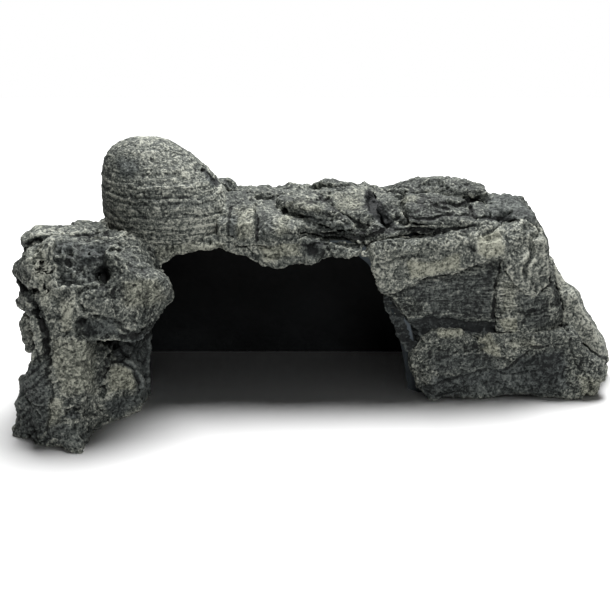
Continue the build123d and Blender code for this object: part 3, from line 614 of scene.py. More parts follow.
trunk.cuts(
    (2.2, 2.8, (0.03, 0.71), (0.1, 0.65), (0.16, 0.61), (0.2, 0.54), (0.24, 0.47)),
    (1.3, 1.8, (0.23, 0.48), (0.26, 0.4), (0.29, 0.36)),
    (1.4, 1.2, (0.52, 0.36), (0.61, 0.35), (0.66, 0.35)),
    (1.2, 1, (0.49, 0.31), (0.59, 0.3), (0.66, 0.29)),
    (1, 0.8, (0.45, 0.25), (0.57, 0.23), (0.63, 0.24)),
    (1.4, 1.4, (0.81, 0.42), (0.87, 0.38), (0.97, 0.37)),
    (1, 0.9, (0.89, 0.45), (0.98, 0.44), (1.06, 0.45)),
    (1.2, 1.2, (0.94, 0.31), (1, 0.3), (1.05, 0.32)),
    (0.9, -0.9, (0.36, 0.13), (0.38, 0.17), (0.46, 0.19), (0.54, 0.17), (0.56, 0.12)),
    (1, -1, (0.01, 0.05), (0.25, 0.08), (0.41, 0.11), (0.56, 0.13)),
    (1.2, 1.2, (0.66, 0.22), (0.66, 0.16), (0.62, 0.08)),
    (0.8, 1, (0.02, 0.28), (0.16, 0.33), (0.26, 0.38)),
    (0.7, 0.7, (0.02, 0.25), (0.16, 0.3), (0.27, 0.35)),
    (0.8, 1.2, (0, 0.22), (0.15, 0.27), (0.28, 0.33)),
    (0.7, 0.7, (0, 0.19), (0.15, 0.24), (0.28, 0.3)),
    (0.8, 1, (-0.01, 0.16), (0.14, 0.21), (0.27, 0.27)),
    (0.7, 0.8, (-0.01, 0.13), (0.15, 0.19), (0.27, 0.24)),
    (0.8, 1.2, (-0.01, 0.1), (0.15, 0.16), (0.27, 0.21)),
    (0.7, 0.7, (0, 0.08), (0.15, 0.13), (0.27, 0.17)),
    (0.8, 1, (0, 0.06), (0.15, 0.1), (0.25, 0.14)),
    (1.1, 1.6, (0.78, 0.56), (0.83, 0.5), (0.88, 0.49)),
    (2, 2.6, (0.79, 0.47), (0.91, 0.48), (1.01, 0.5), (1.1, 0.54)),
    (0.9, -0.8, (0.38, 0.47), (0.51, 0.45), (0.63, 0.46)),
    (1, 1.2, (0.28, 0.38), (0.25, 0.32), (0.3, 0.25), (0.25, 0.18), (0.27, 0.11), (0.21, 0.05)),
    (1.1, 1.8, (0.66, 0.22), (0.65, 0.31), (0.7, 0.36), (0.81, 0.37), (0.88, 0.33), (0.88, 0.22)),
)
trunk.paint("pale",
    (3, 0.8, (0.29, 0.48), (0.64, 0.46), (0.65, 0.35), (0.63, 0.24), (0.35, 0.23), (0.29, 0.36)),
    (2, 0.8, (0.26, 0.23), (0.39, 0.23), (0.36, 0.11), (0.24, 0.1)),
    (2, 1.2, (0.69, 0.35), (0.88, 0.34), (0.87, 0.23), (0.69, 0.23)),
)
trunk.paint("slate_and_painted_shade",
    (0.8, 1.2, (0.38, 0.14), (0.47, 0.18), (0.54, 0.13)),
    (2.5, 1, (0.83, 0.46), (1.07, 0.5), (1.05, 0.29), (0.87, 0.26), (0.76, 0.37)),
    (2, 0.6, (0.05, 0.04), (0.56, 0.11), (0.6, 0.05), (0.51, 0.02), (0.18, 0.02)),
    (1.5, 1.2, (0.92, 0.47), (1.1, 0.52), (1.08, 0.21), (0.91, 0.2), (0.88, 0.32), (0.78, 0.36),
     (0.72, 0.44)),
    (2, 0.7, (0.18, 0.09), (0.36, 0.11), (0.56, 0.11), (0.62, 0.05), (0.51, 0.01), (0.18, 0.02)),
    (1.6, 0.8, (0.02, 0.36), (0.27, 0.38), (0.24, 0.32), (0.29, 0.25), (0.24, 0.18), (0.26, 0.11),
     (0.19, 0.05), (-0.02, 0.05)),
    (1.5, 1.1, (0.92, 0.34), (1.05, 0.31), (1.01, 0.2), (0.8, 0.13), (0.73, 0.11), (0.68, 0.19),
     (0.86, 0.2)),
)
carve(trunk)
weather(trunk, pitting=1.3)
place(trunk, grey_rock, "rock_grey")


# ---------------------------------------------------------------- Pillar cap, chips and foot
# The flat stone on the pillar, the chips down its flank, and the slaty toe and small foot
# stone that it stands on. Each is moulded with its own grain and painted with the pillar.

pale_rock = rock_coat("painted_rock_pale", 0.045)
dark_rock = rock_coat("painted_rock_dark", -0.10, 0.5, webbing=0.34)

cap = Rock("pillar_cap", 0.8)
cap.crater((0.4, 0.6), 1.4, 1.1)
cap.crater((0.24, 0.55), 1.1, 0.9)
cap.dent((0.51, 0.55), (3, 1.4), 1)
cap.cuts(
    (1.3, 2.6, (0.06, 0.38), (0.25, 0.44), (0.46, 0.48), (0.69, 0.5), (0.98, 0.53)),
    (0.8, 0.9, (0.49, 0.42), (0.75, 0.44), (0.98, 0.46)),
)
cap.paint("pale", (4, 0.25, (-0.01, 0.66), (0.75, 0.71), (0.88, 0.52), (0.09, 0.45)))
carve(cap, coarse=0.7, cracks=0.4)
weather(cap, beds=0.5)
place(cap, grey_rock, "rock_grey")

for node in ("flank_chip_upper", "flank_chip_lower"):
    chip = Rock(node, 0.7)
    carve(chip, coarse=0.8)
    weather(chip, beds=0.6)
    place(chip, dark_rock, "rock_dark")

toe = Rock("pillar_toe", 0.8)
toe.cuts(
    (0.8, 1, (-0.05, 0.69), (0.19, 0.83), (0.41, 0.95)),
    (0.7, 0.7, (0.04, 0.62), (0.2, 0.75), (0.43, 0.87)),
    (0.8, 1.2, (0.12, 0.56), (0.27, 0.68), (0.45, 0.8)),
    (0.7, 0.7, (0.13, 0.48), (0.33, 0.61), (0.46, 0.72)),
    (0.8, 1, (0.11, 0.4), (0.39, 0.54), (0.51, 0.65)),
    (0.7, 0.8, (0.11, 0.33), (0.39, 0.47), (0.55, 0.58)),
    (0.8, 1.2, (0.12, 0.26), (0.4, 0.39), (0.61, 0.51)),
    (0.7, 0.7, (0.13, 0.2), (0.4, 0.3), (0.62, 0.42)),
    (0.8, 1, (0.15, 0.14), (0.39, 0.23), (0.6, 0.34)),
)
toe.paint("slate_and_painted_shade",
    (1.6, 0.8, (-0.12, 0.9), (0.43, 0.97), (0.38, 0.78), (0.56, 0.61), (0.57, 0.44), (0.61, 0.26),
     (0.47, 0.09), (0.08, 0.11)),
)
carve(toe, coarse=0.8, cracks=0.5)
weather(toe, beds=1.1, pitch=2.6, bedding=(-0.62, 0, 0.78), veins=0.6)
place(toe, grey_rock, "rock_grey")

foot = Rock("foot_stone", 0.7)
foot.cuts(
    (1.1, 1.8, (0.12, 0.37), (0.09, 0.65), (0.22, 0.78), (0.51, 0.82), (0.71, 0.72), (0.77, 0.4)),
)
foot.paint("pale",
    (4, 0.7, (0.16, 0.78), (0.75, 0.77), (0.73, 0.4), (0.21, 0.39)),
    (2, 1.2, (0.18, 0.75), (0.69, 0.75), (0.73, 0.43), (0.21, 0.41)),
)
foot.paint("slate_and_painted_shade",
    (1.5, 1.2, (0.8, 1.11), (1.35, 1.27), (1.24, 0.37), (0.84, 0.34), (0.71, 0.67), (0.42, 0.8),
     (0.24, 1.01)),
    (1.5, 1.1, (0.8, 0.74), (1.19, 0.65), (1.06, 0.32), (0.59, 0.14), (0.27, 0.05), (0.16, 0.29),
     (0.73, 0.35)),
)
carve(foot, coarse=0.4, cracks=0.2, proud=1.4)
weather(foot)
place(foot, pale_rock, "rock_pale")


# ---------------------------------------------------------------- Boulder
# The big rounded stone on the roof beside the pillar, and the chock wedged behind it. The
# master was combed with fine level ripples, which the brush of pale paint picks out.

combed_rock = rock_coat("painted_rock_combed", 0.065, 1.1, (0.3, 0.3, 1.8))

boulder = Rock("boulder", 0.9)
boulder.crater((0.92, 0.15), 1.1, 1.2)
boulder.crater((0.4, 0.66), 1.3, 0.5)
boulder.cuts(
    (1, 0.35, (0.15, 0.39), (0.4, 0.35), (0.66, 0.37)),
    (1, 0.35, (0.09, 0.27), (0.37, 0.25), (0.77, 0.24)),
    (1.6, 2.2, (0.78, 0.6), (0.83, 0.56), (0.88, 0.5)),
)
boulder.paint("pale",
    (5, 0.45, (0.28, 0.75), (0.58, 0.74), (0.76, 0.54), (0.65, 0.46), (0.39, 0.57)),
    (4, 0.4, (0.06, 0.49), (0.32, 0.46), (0.32, 0.38), (0.06, 0.4)),
)
boulder.paint("slate_and_painted_shade",
    (2.5, 1, (0.14, 0.67), (0.27, 0.68), (0.32, 0.59), (0.26, 0.53), (0.16, 0.54)),
    (4, 0.5, (0.4, 0.38), (0.86, 0.37), (0.85, 0.26), (0.4, 0.29)),
    (4, 0.4, (0.16, 0.25), (0.47, 0.22), (0.46, 0.16), (0.14, 0.18)),
    (0.8, 1.3, (0.78, 0.61), (0.83, 0.58), (0.88, 0.52), (0.86, 0.47), (0.8, 0.52)),
)
carve(boulder, coarse=0.13, cracks=0.0)
weather(boulder, beds=0.45, pitch=1.7, fine=0.5, pitting=0.35, veins=0.35)
place(boulder, combed_rock, "rock_grey")

chock = Rock("chock_stone", 0.7)
carve(chock, coarse=0.7)
weather(chock)
place(chock, grey_rock, "rock_grey")


# ---------------------------------------------------------------- Spring stone and brow lip
# The band of small stones that the arch of the mouth springs from, with a row of pits, and
# the low lip that hangs over it. They are cast with the roof and brushed with cream.

spring = Rock("spring_stone", 0.8)
spring.crater((0.72, 0.75), 1.3, 1.3)
spring.crater((0.8, 0.7), 1.1, 1.1)
spring.crater((0.64, 0.7), 0.9, 0.9)
spring.crater((0.35, 0.58), 1.1, 1.1)
spring.cuts((0.9, -0.8, (-0.03, 0.68), (0.22, 0.54), (0.39, 0.63), (0.69, 0.65), (0.93, 0.68)))
spring.paint("pale", (3, 0.7, (0.22, 0.68), (0.93, 0.75), (0.95, 0.58), (0.3, 0.37)))
carve(spring, coarse=0.7, cracks=0.4)
weather(spring, beds=0.4)
place(spring, grey_rock, "rock_grey")

lip = Rock("brow_lip", 0.8)
lip.crater((0.22, 0.42), 1.2, 1)
lip.crater((0.39, 0.37), 1, 0.8)
lip.dent((0.62, 0.42), (3, 3.4), 2)
lip.cuts(
    (1, 1.6, (0, 0.5), (0.14, 0.58), (0.32, 0.53), (0.43, 0.64), (0.55, 0.75)),
    (1.1, 1.6, (0.58, 0.53), (0.8, 0.61), (1.02, 0.54), (1.24, 0.67)),
    (1, 1.4, (0.67, 0.75), (0.73, 0.53), (0.76, 0.27)),
)
lip.paint("pale", (2.5, 1, (0.2, 0.58), (0.55, 0.69), (0.56, 0.27), (0.28, 0.11)))
lip.paint("slate_and_painted_shade", (2.5, 0.9, (0.57, 0.64), (0.7, 0.7), (0.7, 0.27), (0.58, 0.24)))
carve(lip, coarse=0.8, cracks=0.5)
weather(lip, pitting=1.2)
place(lip, grey_rock, "rock_grey")


# ---------------------------------------------------------------- Roof stones
# The heap on the roof: a bed, and the wedge, brow, long, saddle and fin stones leaning on
# it. Each is a lump of the same casting, with dark wash and painted shade run into the gaps
# between; all but the bed wear a coat darker than the pillar's, as painted shade on the tops
# that the overhead light falls on most.

# Darker than the grey coat: painted shade for the lit tops of the roof stones and slabs.
roof_rock_painted_shade = rock_coat("painted_rock_roof", -0.16, 0.6)

bed = Rock("stone_bed", 0.9)
bed.crater((0.56, 0.42), 2.6, 3.4)
bed.dent((0.42, 0.61), (3.2, 2.6), 3.5)
bed.plate([(0.95, 0.44), (1.04, 0.38), (1.05, 0.18), (0.98, 0.16), (0.95, 0.1)], 1.6, 1.2)
bed.cuts(
    (1.4, 1.8, (0.47, 0.3), (0.56, 0.32), (0.63, 0.32), (0.7, 0.36)),
    (1.3, 2.2, (0.69, 0.51), (0.73, 0.47), (0.78, 0.48), (0.82, 0.56), (0.89, 0.63)),
    (1.3, 2.4, (0.65, 0.37), (0.7, 0.37), (0.75, 0.34), (0.81, 0.36), (0.88, 0.44)),
    (1.9, 3.4, (0.89, 0.81), (0.89, 0.67), (0.9, 0.61), (0.93, 0.53), (0.98, 0.48)),
    (1.1, 1.7, (0.63, 0.21), (0.7, 0.25), (0.76, 0.26), (0.81, 0.32), (0.88, 0.4)),
    (3.4, 4, (0.63, 0.79), (0.64, 0.68), (0.65, 0.56), (0.67, 0.43)),
    (1.2, 2, (0.35, 0.55), (0.36, 0.42), (0.36, 0.28)),
    (1.3, 2, (0.46, 0.28), (0.52, 0.34), (0.58, 0.37), (0.65, 0.38)),
    (1.1, 1.6, (0.48, 0.21), (0.56, 0.24), (0.63, 0.21), (0.7, 0.26)),
    (1, 1.2, (0.45, 0.53), (0.5, 0.48), (0.55, 0.51)),
    (1, 1.4, (0.51, 0.3), (0.53, 0.21), (0.54, 0.1)),
    (0.9, 1, (0.71, 0.69), (0.77, 0.7), (0.82, 0.63)),
    (1, 1.3, (0.9, 0.32), (0.96, 0.42), (1.03, 0.38)),
    (1.2, 1.8, (0.5, 0.74), (0.53, 0.65), (0.57, 0.58), (0.6, 0.48), (0.64, 0.41)),
)
bed.paint("slate_and_painted_shade",
    (2.5, 0.85, (0.93, 0.84), (1.03, 0.88), (1.03, 0.61), (1.04, 0.32), (0.97, 0.35),
     (0.92, 0.53)),
    (2, 1.4, (0.62, 0.82), (0.65, 0.79), (0.68, 0.45), (0.65, 0.38)),
    (2, 0.7, (0.47, 0.56), (0.53, 0.5), (0.58, 0.48), (0.58, 0.35), (0.48, 0.41)),
)
carve(bed)
weather(bed, beds=0.8)
place(bed, dark_rock, "rock_dark")

wedge = Rock("wedge_stone", 0.7)
wedge.crater((0.8, 0.66), 1.1, 0.7)
wedge.boss((0.79, 0.33), (6, 10), 1.4)
wedge.cuts(
    (1, 1.4, (0.28, 0.52), (0.27, 0.27), (0.32, 0.01)),
    (1.2, 2, (0.98, 0.44), (1.06, 0.24), (1.11, 0.07)),
)
wedge.paint("pale", (3, 0.8, (0.36, 0.58), (0.96, 0.62), (1, 0.1), (0.43, 0.01)))
wedge.paint("slate_and_painted_shade", (1.5, 1, (0.29, 0.45), (0.47, 0.45), (0.48, 0.07), (0.3, 0.07)))
carve(wedge, coarse=0.4, cracks=0.1)
weather(wedge, fine=0.8)
place(wedge, roof_rock_painted_shade, "rock_grey")

brow = Rock("brow_stone", 0.7)
brow.crater((-0.12, 0.95), 1.1, 0.7)
brow.dent((0.63, 0.72), (3.2, 2.6), 3.5)
brow.boss((0.44, 0.34), (7, 6), 1.6)
brow.boss((-0.11, 0.47), (6, 10), 1.4)
brow.cuts(
    (1.2, 2, (0.05, 0.6), (0.09, 0.34), (0.13, 0.09)),
    (1, 1.2, (0.83, 0.57), (1.22, 0.47), (1.61, 0.53)),
    (1, 1.3, (0.14, 1.03), (0.58, 1.07), (1.02, 0.9)),
)
brow.paint("pale", (2.5, 0.8, (0.48, 0.6), (0.81, 0.61), (0.79, 0.17), (0.52, 0.13)))
brow.paint("slate_and_painted_shade", (2.5, 0.6, (0.13, 0.47), (0.4, 0.56), (0.44, 0.17), (0.17, 0.09)))
carve(brow, coarse=0.4, cracks=0.1)
weather(brow, fine=0.8)
place(brow, roof_rock_painted_shade, "rock_grey")

long = Rock("long_stone", 0.7)
long.crater((0.78, 0.06), 2.6, 3.4)
long.dent((0.1, 0.43), (3.2, 2.6), 3.5)
long.boss((0.38, 0.44), (9, 4), 1.4)
long.cuts(
    (2, -1.2, (0.15, 0.53), (0.28, 0.67), (0.53, 0.48), (0.91, 0.28)),
    (1.2, 1.4, (0.25, -0.03), (0.6, 0), (0.91, 0.02)),
    (1.3, 2.2, (0.38, 0.6), (0.51, 0.66), (0.64, 0.72)),
    (1.3, 2, (0.28, -0.2), (0.6, -0.08), (0.91, -0.02), (1.26, 0)),
    (1, 1.2, (0.23, 0.27), (0.48, 0.18), (0.73, 0.24)),
    (1, 1.3, (-0.21, 0.73), (0.07, 0.78), (0.36, 0.62)),
    (1.2, 1.8, (0.51, 0.74), (0.66, 0.53), (0.85, 0.38), (1.04, 0.18), (1.21, 0.04)),
)
long.paint("pale", (2, 0.7, (0.13, 0.62), (0.3, 0.74), (0.58, 0.51), (0.51, 0.3), (0.23, 0.4)))
long.paint("slate_and_painted_shade",
    (3, 0.7, (0.28, 0.18), (0.66, 0.09), (0.66, -0.21), (0.28, -0.16)),
    (2, 0.7, (0.33, 0.33), (0.66, 0.21), (0.94, 0.17), (0.91, -0.07), (0.41, 0.05)),
)
carve(long, coarse=0.45, cracks=0.2)
weather(long, beds=0.5, fine=0.8)
place(long, roof_rock_painted_shade, "rock_grey")

saddle = Rock("saddle_stone", 0.7)
saddle.boss((0.34, 0.57), (10, 5), 1.4)
saddle.cuts(
    (3, 3.5, (0.82, 0.59), (0.93, 0.3), (1.07, -0.02)),
    (3.4, 4, (0.81, 0.64), (0.9, 0.39), (1, 0.16), (1.14, -0.07)),
    (1.3, 2.2, (-0.28, 0.51), (-0.09, 0.55), (0.09, 0.58)),
    (0.9, 1.1, (0.09, 0.81), (0.42, 0.9), (0.9, 0.83)),
    (1.2, 1.8, (-0.09, 0.62), (0.12, 0.39), (0.38, 0.23), (0.65, 0.02), (0.89, -0.11)),
)
saddle.paint("pale", (3, 0.85, (0.02, 0.76), (0.71, 0.77), (0.72, 0.35), (0.22, 0.3)))
saddle.paint("slate_and_painted_shade",
    (2.5, 1.4, (0.73, 0.64), (1.03, 0.62), (1.18, -0.07), (0.93, -0.11)),
    (2, 1.4, (0.74, 0.69), (1, 0.67), (1.21, -0.02), (0.96, -0.16)),
    (2, 0.7, (-0.35, 0.19), (0.11, 0.07), (0.5, 0.02), (0.47, -0.22), (-0.24, -0.1)),
)
carve(saddle, coarse=0.4, cracks=0.1)
weather(saddle, fine=0.7)
place(saddle, roof_rock_painted_shade, "rock_grey")

fin = Rock("fin_stone", 0.8)
fin.cuts(
    (1.3, 2.2, (0.57, 0.16), (1.43, 0.08), (2.22, 0.11), (3.05, 0.28), (4.16, 0.36)),
    (3.4, 4, (-0.6, 0.81), (-0.32, 0.55), (-0.12, 0.24), (0.23, -0.02)),
    (1, 1.4, (0.28, 0.99), (1.12, 0.82), (2.35, 0.79), (3.13, 0.69)),
    (0.9, 1, (0.92, 0.56), (2.02, 0.59), (3.1, 0.44)),
)
fin.paint("slate_and_painted_shade", (2, 1.4, (-0.79, 0.86), (-0.13, 0.81), (0.42, 0.03), (-0.23, -0.12)))
carve(fin, coarse=0.8)
weather(fin)
place(fin, roof_rock_painted_shade, "rock_grey")


# ---------------------------------------------------------------- Roof slabs
# The flat-bedded slabs on the right of the roof, with cracks along their beds, and the
# slab behind the heap. They are moulded smoother than the pillar.

crown = Rock("crown_slab", 0.8)
crown.boss((0.18, 0.54), (18, 6), 1.6)
crown.cuts(
    (1.3, 2.2, (-0.09, 0.29), (0.1, 0.21), (0.28, 0.23), (0.48, 0.37), (0.74, 0.43)),
    (1.3, 2.4, (-0.29, 0.04), (-0.05, 0.04), (0.17, -0.02), (0.43, 0.02), (0.75, 0.15)),
    (1.9, 3.4, (0.71, 0.72), (0.74, 0.53), (0.81, 0.41), (0.96, 0.3), (1.15, 0.19)),
    (1.1, 1.7, (-0.35, -0.25), (-0.05, -0.17), (0.21, -0.16), (0.44, -0.06), (0.74, 0.08)),
    (1.3, 2.2, (0.41, 0.67), (0.58, 0.63), (0.73, 0.72), (0.83, 0.78)),
    (1, 1.4, (-0.17, 0.9), (0.03, 0.78), (0.3, 0.74), (0.5, 0.68)),
    (0.9, 1, (-0.02, 0.58), (0.22, 0.58), (0.5, 0.5)),
    (1, 1.3, (0.85, -0.06), (1.08, 0.1), (1.34, 0.02)),
)
crown.paint("pale", (3, 0.85, (-0.15, 0.82), (0.2, 0.81), (0.13, 0.54), (-0.1, 0.58)))
crown.paint("slate_and_painted_shade",
    (2.5, 0.85, (0.89, 0.76), (1.29, 0.82), (1.35, 0.41), (1.38, -0.1), (1.1, -0.02), (0.9, 0.29)),
)
carve(crown, coarse=0.5, cracks=0.2)
weather(crown, beds=0.9, pitch=3.4, fine=0.8)
place(crown, roof_rock_painted_shade, "rock_grey")

corner = Rock("corner_slab", 0.8)
corner.plate([(0.21, 0.51), (0.75, 0.45), (0.82, 0.26), (0.46, 0.26), (0.27, 0.2)], 1.6, 1.2)
corner.cuts(
    (1.9, 3.4, (-0.28, 0.81), (-0.19, 0.73), (-0.08, 0.67), (0.1, 0.59), (0.4, 0.54)),
    (0.9, 0.9, (-0.11, 0.45), (0.21, 0.49), (0.59, 0.45)),
    (1.2, 1.2, (0.21, 0.37), (0.37, 0.28), (0.65, 0.32)),
    (1, 1.3, (-0.04, 0.41), (0.31, 0.49), (0.69, 0.45)),
)
corner.paint("slate_and_painted_shade",
    (2.5, 0.85, (0, 0.84), (0.66, 0.9), (0.79, 0.68), (0.75, 0.39), (0.34, 0.43), (0.02, 0.59)),
)
carve(corner, coarse=0.6, cracks=0.3)
weather(corner, beds=0.8, pitch=4.0, fine=0.6, pitting=0.6)
place(corner, roof_rock_painted_shade, "rock_grey")

top = Rock("top_slab", 0.8)
top.cuts(
    (1.9, 3.4, (0.77, 0.29), (0.83, 0.13), (0.9, 0.03), (1.03, -0.08), (1.22, -0.18)),
    (1.3, 2.2, (0.51, 0.27), (0.67, 0.23), (0.79, 0.29), (0.87, 0.35)),
    (0.9, 0.9, (0.13, 0.57), (0.36, 0.59), (0.51, 0.55)),
    (1, 1.4, (0, 0.54), (0.16, 0.35), (0.41, 0.33), (0.59, 0.27)),
    (0.9, 1, (0.12, 0.15), (0.35, 0.19), (0.61, 0.11)),
)
top.paint("slate_and_painted_shade",
    (2.5, 0.85, (0.93, 0.33), (1.3, 0.41), (1.4, 0.03), (1.44, -0.47), (1.18, -0.4),
     (0.98, -0.08)),
)
carve(top, coarse=0.8, cracks=0.4)
weather(top, beds=0.5)
place(top, roof_rock_painted_shade, "rock_grey")

back = Rock("back_slab", 0.9)
back.crater((0.4, 0.32), 1.1, 0.7)
back.cuts(
    (1.3, 2.2, (0.65, 0.32), (0.69, 0.34), (0.73, 0.38)),
    (1.1, 1.3, (0.37, 0.44), (0.45, 0.38), (0.55, 0.47)),
    (1, 1.3, (0.45, 0.4), (0.55, 0.45), (0.64, 0.34)),
    (0.9, 1.1, (0.73, 0.59), (0.81, 0.69), (0.92, 0.6)),
    (1, 1.4, (0.98, 0.61), (1.06, 0.47), (1.17, 0.45), (1.25, 0.39)),
    (1.2, 1.8, (0.69, 0.4), (0.74, 0.23), (0.8, 0.08), (0.87, -0.12), (0.93, -0.24)),
)
carve(back)
weather(back, beds=0.6)
place(back, roof_rock_painted_shade, "rock_grey")


# ---------------------------------------------------------------- Buttress
# The leg right of the mouth: a proud pale ledge, a dark panel with a smooth groove under
# it, a broad toe, the shoulder and column beside them, and a cracked slab at the end.

ledge = Rock("buttress_ledge", 0.8)
ledge.plate([
    (0.1, -0.06), (0.08, 0.71), (1.05, 0.96), (1.01, 0.46), (0.81, 0.37), (0.7, 0.29),
    (0.59, 0.18), (0.48, 0.15), (0.35, 0.11), (0.24, 0)
], -1.6, 0.9)
ledge.crater((0.89, 0.7), 1.4, 1.2)
ledge.crater((0.55, 0.31), 1.2, 0.9)
ledge.dent((0.74, 0.55), (2.6, 4), 1.3)
ledge.plate([(0.98, 0.93), (1.21, 0.83), (1.23, 0.55), (1.08, 0.55), (0.99, 0.46)], 1.6, 1.2)
ledge.cuts(
    (1.3, 2.4, (0.12, 0.84), (0.27, 0.84), (0.42, 0.8), (0.58, 0.82), (0.79, 0.93)),
    (1.1, 1.7, (0.08, 0.62), (0.27, 0.67), (0.44, 0.69), (0.59, 0.76), (0.78, 0.87)),
    (1, 1.3, (0.85, 0.76), (1.02, 0.9), (1.18, 0.83)),
    (1.3, 2.2, (1, 0.7), (1.05, 0.52)),
)
ledge.paint("pale",
    (2, 1.3, (0.33, 0.37), (0.55, 0.37), (0.67, 0.46), (0.68, 0.25), (0.48, 0.14), (0.36, 0.12)),
    (2, 1.3, (0.81, 0.76), (0.97, 0.85), (0.99, 0.46), (0.86, 0.37), (0.8, 0.46)),
    (3, 0.4, (0.16, 0.58), (0.35, 0.61), (0.34, 0.37), (0.17, 0.15)),
)
ledge.paint("slate_and_painted_shade",
    (2.5, 0.85, (0.86, 1.38), (1.12, 1.44), (1.19, 1.15), (1.2, 0.73), (1.02, 0.8), (0.9, 1.05)),
    (1.5, 0.8, (0.99, 0.73), (1.08, 0.83), (1.1, 0.61), (1.01, 0.46)),
)
carve(ledge, coarse=0.8, cracks=0.4)
weather(ledge, beds=0.4)
place(ledge, pale_rock, "rock_pale")

striped_rock = rock_coat("painted_rock_striped", -0.085, 1.4, (0.3, 0.3, 1.8))

panel = Rock("buttress_panel", 0.8)
panel.plate([
    (0.28, 0.27), (0.51, 0.28), (0.76, 0.27), (0.99, 0.25), (0.99, 0.15), (0.76, 0.17), (0.3, 0.15)
], 2, 0.8)
jamb = [
    (-0.11, 0.98), (-0.03, 0.76), (0.01, 0.64), (0.14, 0.49), (0.26, 0.3), (0.35, 0.1),
    (0.35, -0.02), (0.14, -0.02), (-0.06, 0.58), (-0.16, 0.86),
]
panel.plate(jamb, 6.5, 0.8)
panel.plate([(0.99, 1.21), (1.27, 1.16), (1.31, 0.98), (1.13, 0.98), (1.03, 0.92)], 1.6, 1.2)
panel.cuts(
    (0.9, 1, (0.29, 0.28), (0.51, 0.28), (0.76, 0.27), (0.99, 0.25)),
    (1.1, 2.2, (0.97, 0.86), (0.97, 0.58), (0.99, 0.18)),
)
panel.paint("slate_and_painted_shade",
    (1.6, 1.5, (0.28, 0.3), (0.51, 0.3), (0.99, 0.26), (0.99, 0.15), (0.76, 0.16), (0.3, 0.14)),
    (0.6, 1.7, *jamb),
    (3, 0.7, (0.2, 0.64), (0.67, 0.72), (0.95, 0.8), (0.96, 0.32), (0.43, 0.3)),
    (1.5, 0.8, (1.03, 1.1), (1.12, 1.16), (1.16, 1.02), (1.04, 0.92)),
)
carve(panel, coarse=0.35, cracks=0.0)
weather(panel, beds=0.8, pitch=2.4, fine=0.9, pitting=0.6)
place(panel, striped_rock, "rock_dark")

band = Rock("buttress_toe", 0.8)
band.dent((0.31, 0.68), (7.5, 2.2), 2.6)
band.crater((0.26, 0.69), 0.8, 0.6)
band.cuts(
    (1.2, 1.3, (0.11, 0.2), (0.22, 0.3), (0.35, 0.35)),
    (1, -0.8, (0.05, 0.44), (0.14, 0.35), (0.18, 0.2)),
    (1.2, 1.2, (0.45, 0.35), (0.53, 0.49), (0.6, 0.62)),
    (1, -0.8, (0.77, 0.17), (0.75, 0.37), (0.78, 0.54)),
    (1, 1.8, (0.78, 0.93), (0.82, 0.86), (0.87, 0.78), (0.91, 0.67), (0.98, 0.58), (1.03, 0.41)),
    (0.8, -0.9, (0.13, 0.59), (0.29, 0.59), (0.45, 0.54)),
    (0.8, -0.8, (-0.01, 0.46), (0.08, 0.52), (0.2, 0.42)),
    (0.8, -0.9, (0.5, 0.32), (0.56, 0.44), (0.63, 0.59)),
    (0.8, -0.9, (0.77, 0.54), (0.8, 0.39), (0.78, 0.2)),
    (1.2, 2, (0.73, 1.57), (0.76, 1.35), (0.78, 1.13), (0.79, 0.9)),
    (1, 1.4, (0.79, 0.9), (0.81, 0.64), (0.87, 0.37), (0.94, 0.14)),
)
band.paint("pale",
    (1.5, 1.1, (0.1, 0.86), (0.24, 0.87), (0.24, 0.77), (0.11, 0.76)),
    (2, 1.4, (0.29, 0.84), (0.39, 0.84), (0.44, 0.66), (0.43, 0.52), (0.37, 0.59)),
    (3, 0.7, (0.45, 0.74), (0.61, 0.79), (0.66, 0.66), (0.5, 0.59)),
    (2.5, 1, (0.85, 0.27), (1.01, 0.29), (1.01, 0.04), (0.87, 0.05)),
)
band.paint("slate_and_painted_shade",
    (3, 1.4, (0.54, 0.54), (0.78, 0.59), (0.79, 0.15), (0.53, 0.15)),
    (4, 0.8, (0.05, 0.62), (0.29, 0.62), (0.45, 0.47), (0.4, 0.27), (0.08, 0.35)),
    (3, 1, (0.03, 0.19), (0.77, 0.2), (0.78, 0.05), (0.05, 0.02)),
    (2.5, 1.2, (0.06, 0.12), (0.08, 0.3), (0.29, 0.35), (0.5, 0.42), (0.54, 0.54), (0.77, 0.57),
     (0.81, 0.1)),
)
carve(band, coarse=0.9, cracks=0.6)
weather(band, veins=1.5, pitting=0.8)
place(band, dark_rock, "rock_dark")

shoulder = Rock("shoulder_stone", 0.8)
carve(shoulder, coarse=0.8)
weather(shoulder)
place(shoulder, pale_rock, "rock_pale")

column = Rock("buttress_column", 0.8)
column.plate([
    (-0.01, 0.76), (0.25, 0.85), (0.55, 0.87), (0.75, 0.76), (0.83, 0.42), (0.79, 0.15),
    (0.06, 0.16)
], -1.4, 2)
column.cuts(
    (0.9, 0.9, (0.03, 0.67), (0.31, 0.71), (0.71, 0.69)),
    (0.9, 0.9, (0.21, 0.51), (0.47, 0.49), (0.75, 0.53)),
    (0.9, 0.9, (0.28, 0.35), (0.54, 0.37), (0.8, 0.39)),
    (1, 1.8, (0.95, 0.21), (1.1, 0.15), (1.2, 0.1), (1.32, 0.02), (1.48, -0.05), (1.66, -0.17)),
    (1.2, 2, (0.76, 0.67), (0.85, 0.51), (0.95, 0.35), (1, 0.19)),
    (1, 1.4, (1, 0.19), (1.1, -0.01), (1.28, -0.21), (1.43, -0.37)),
)
column.paint("pale",
    (2, 0.7, (0.03, 0.62), (0.26, 0.64), (0.31, 0.35), (0.08, 0.32)),
    (1.2, 1.5, (0.06, 0.29), (0.3, 0.29), (0.32, 0.16), (0.1, 0.16)),
)
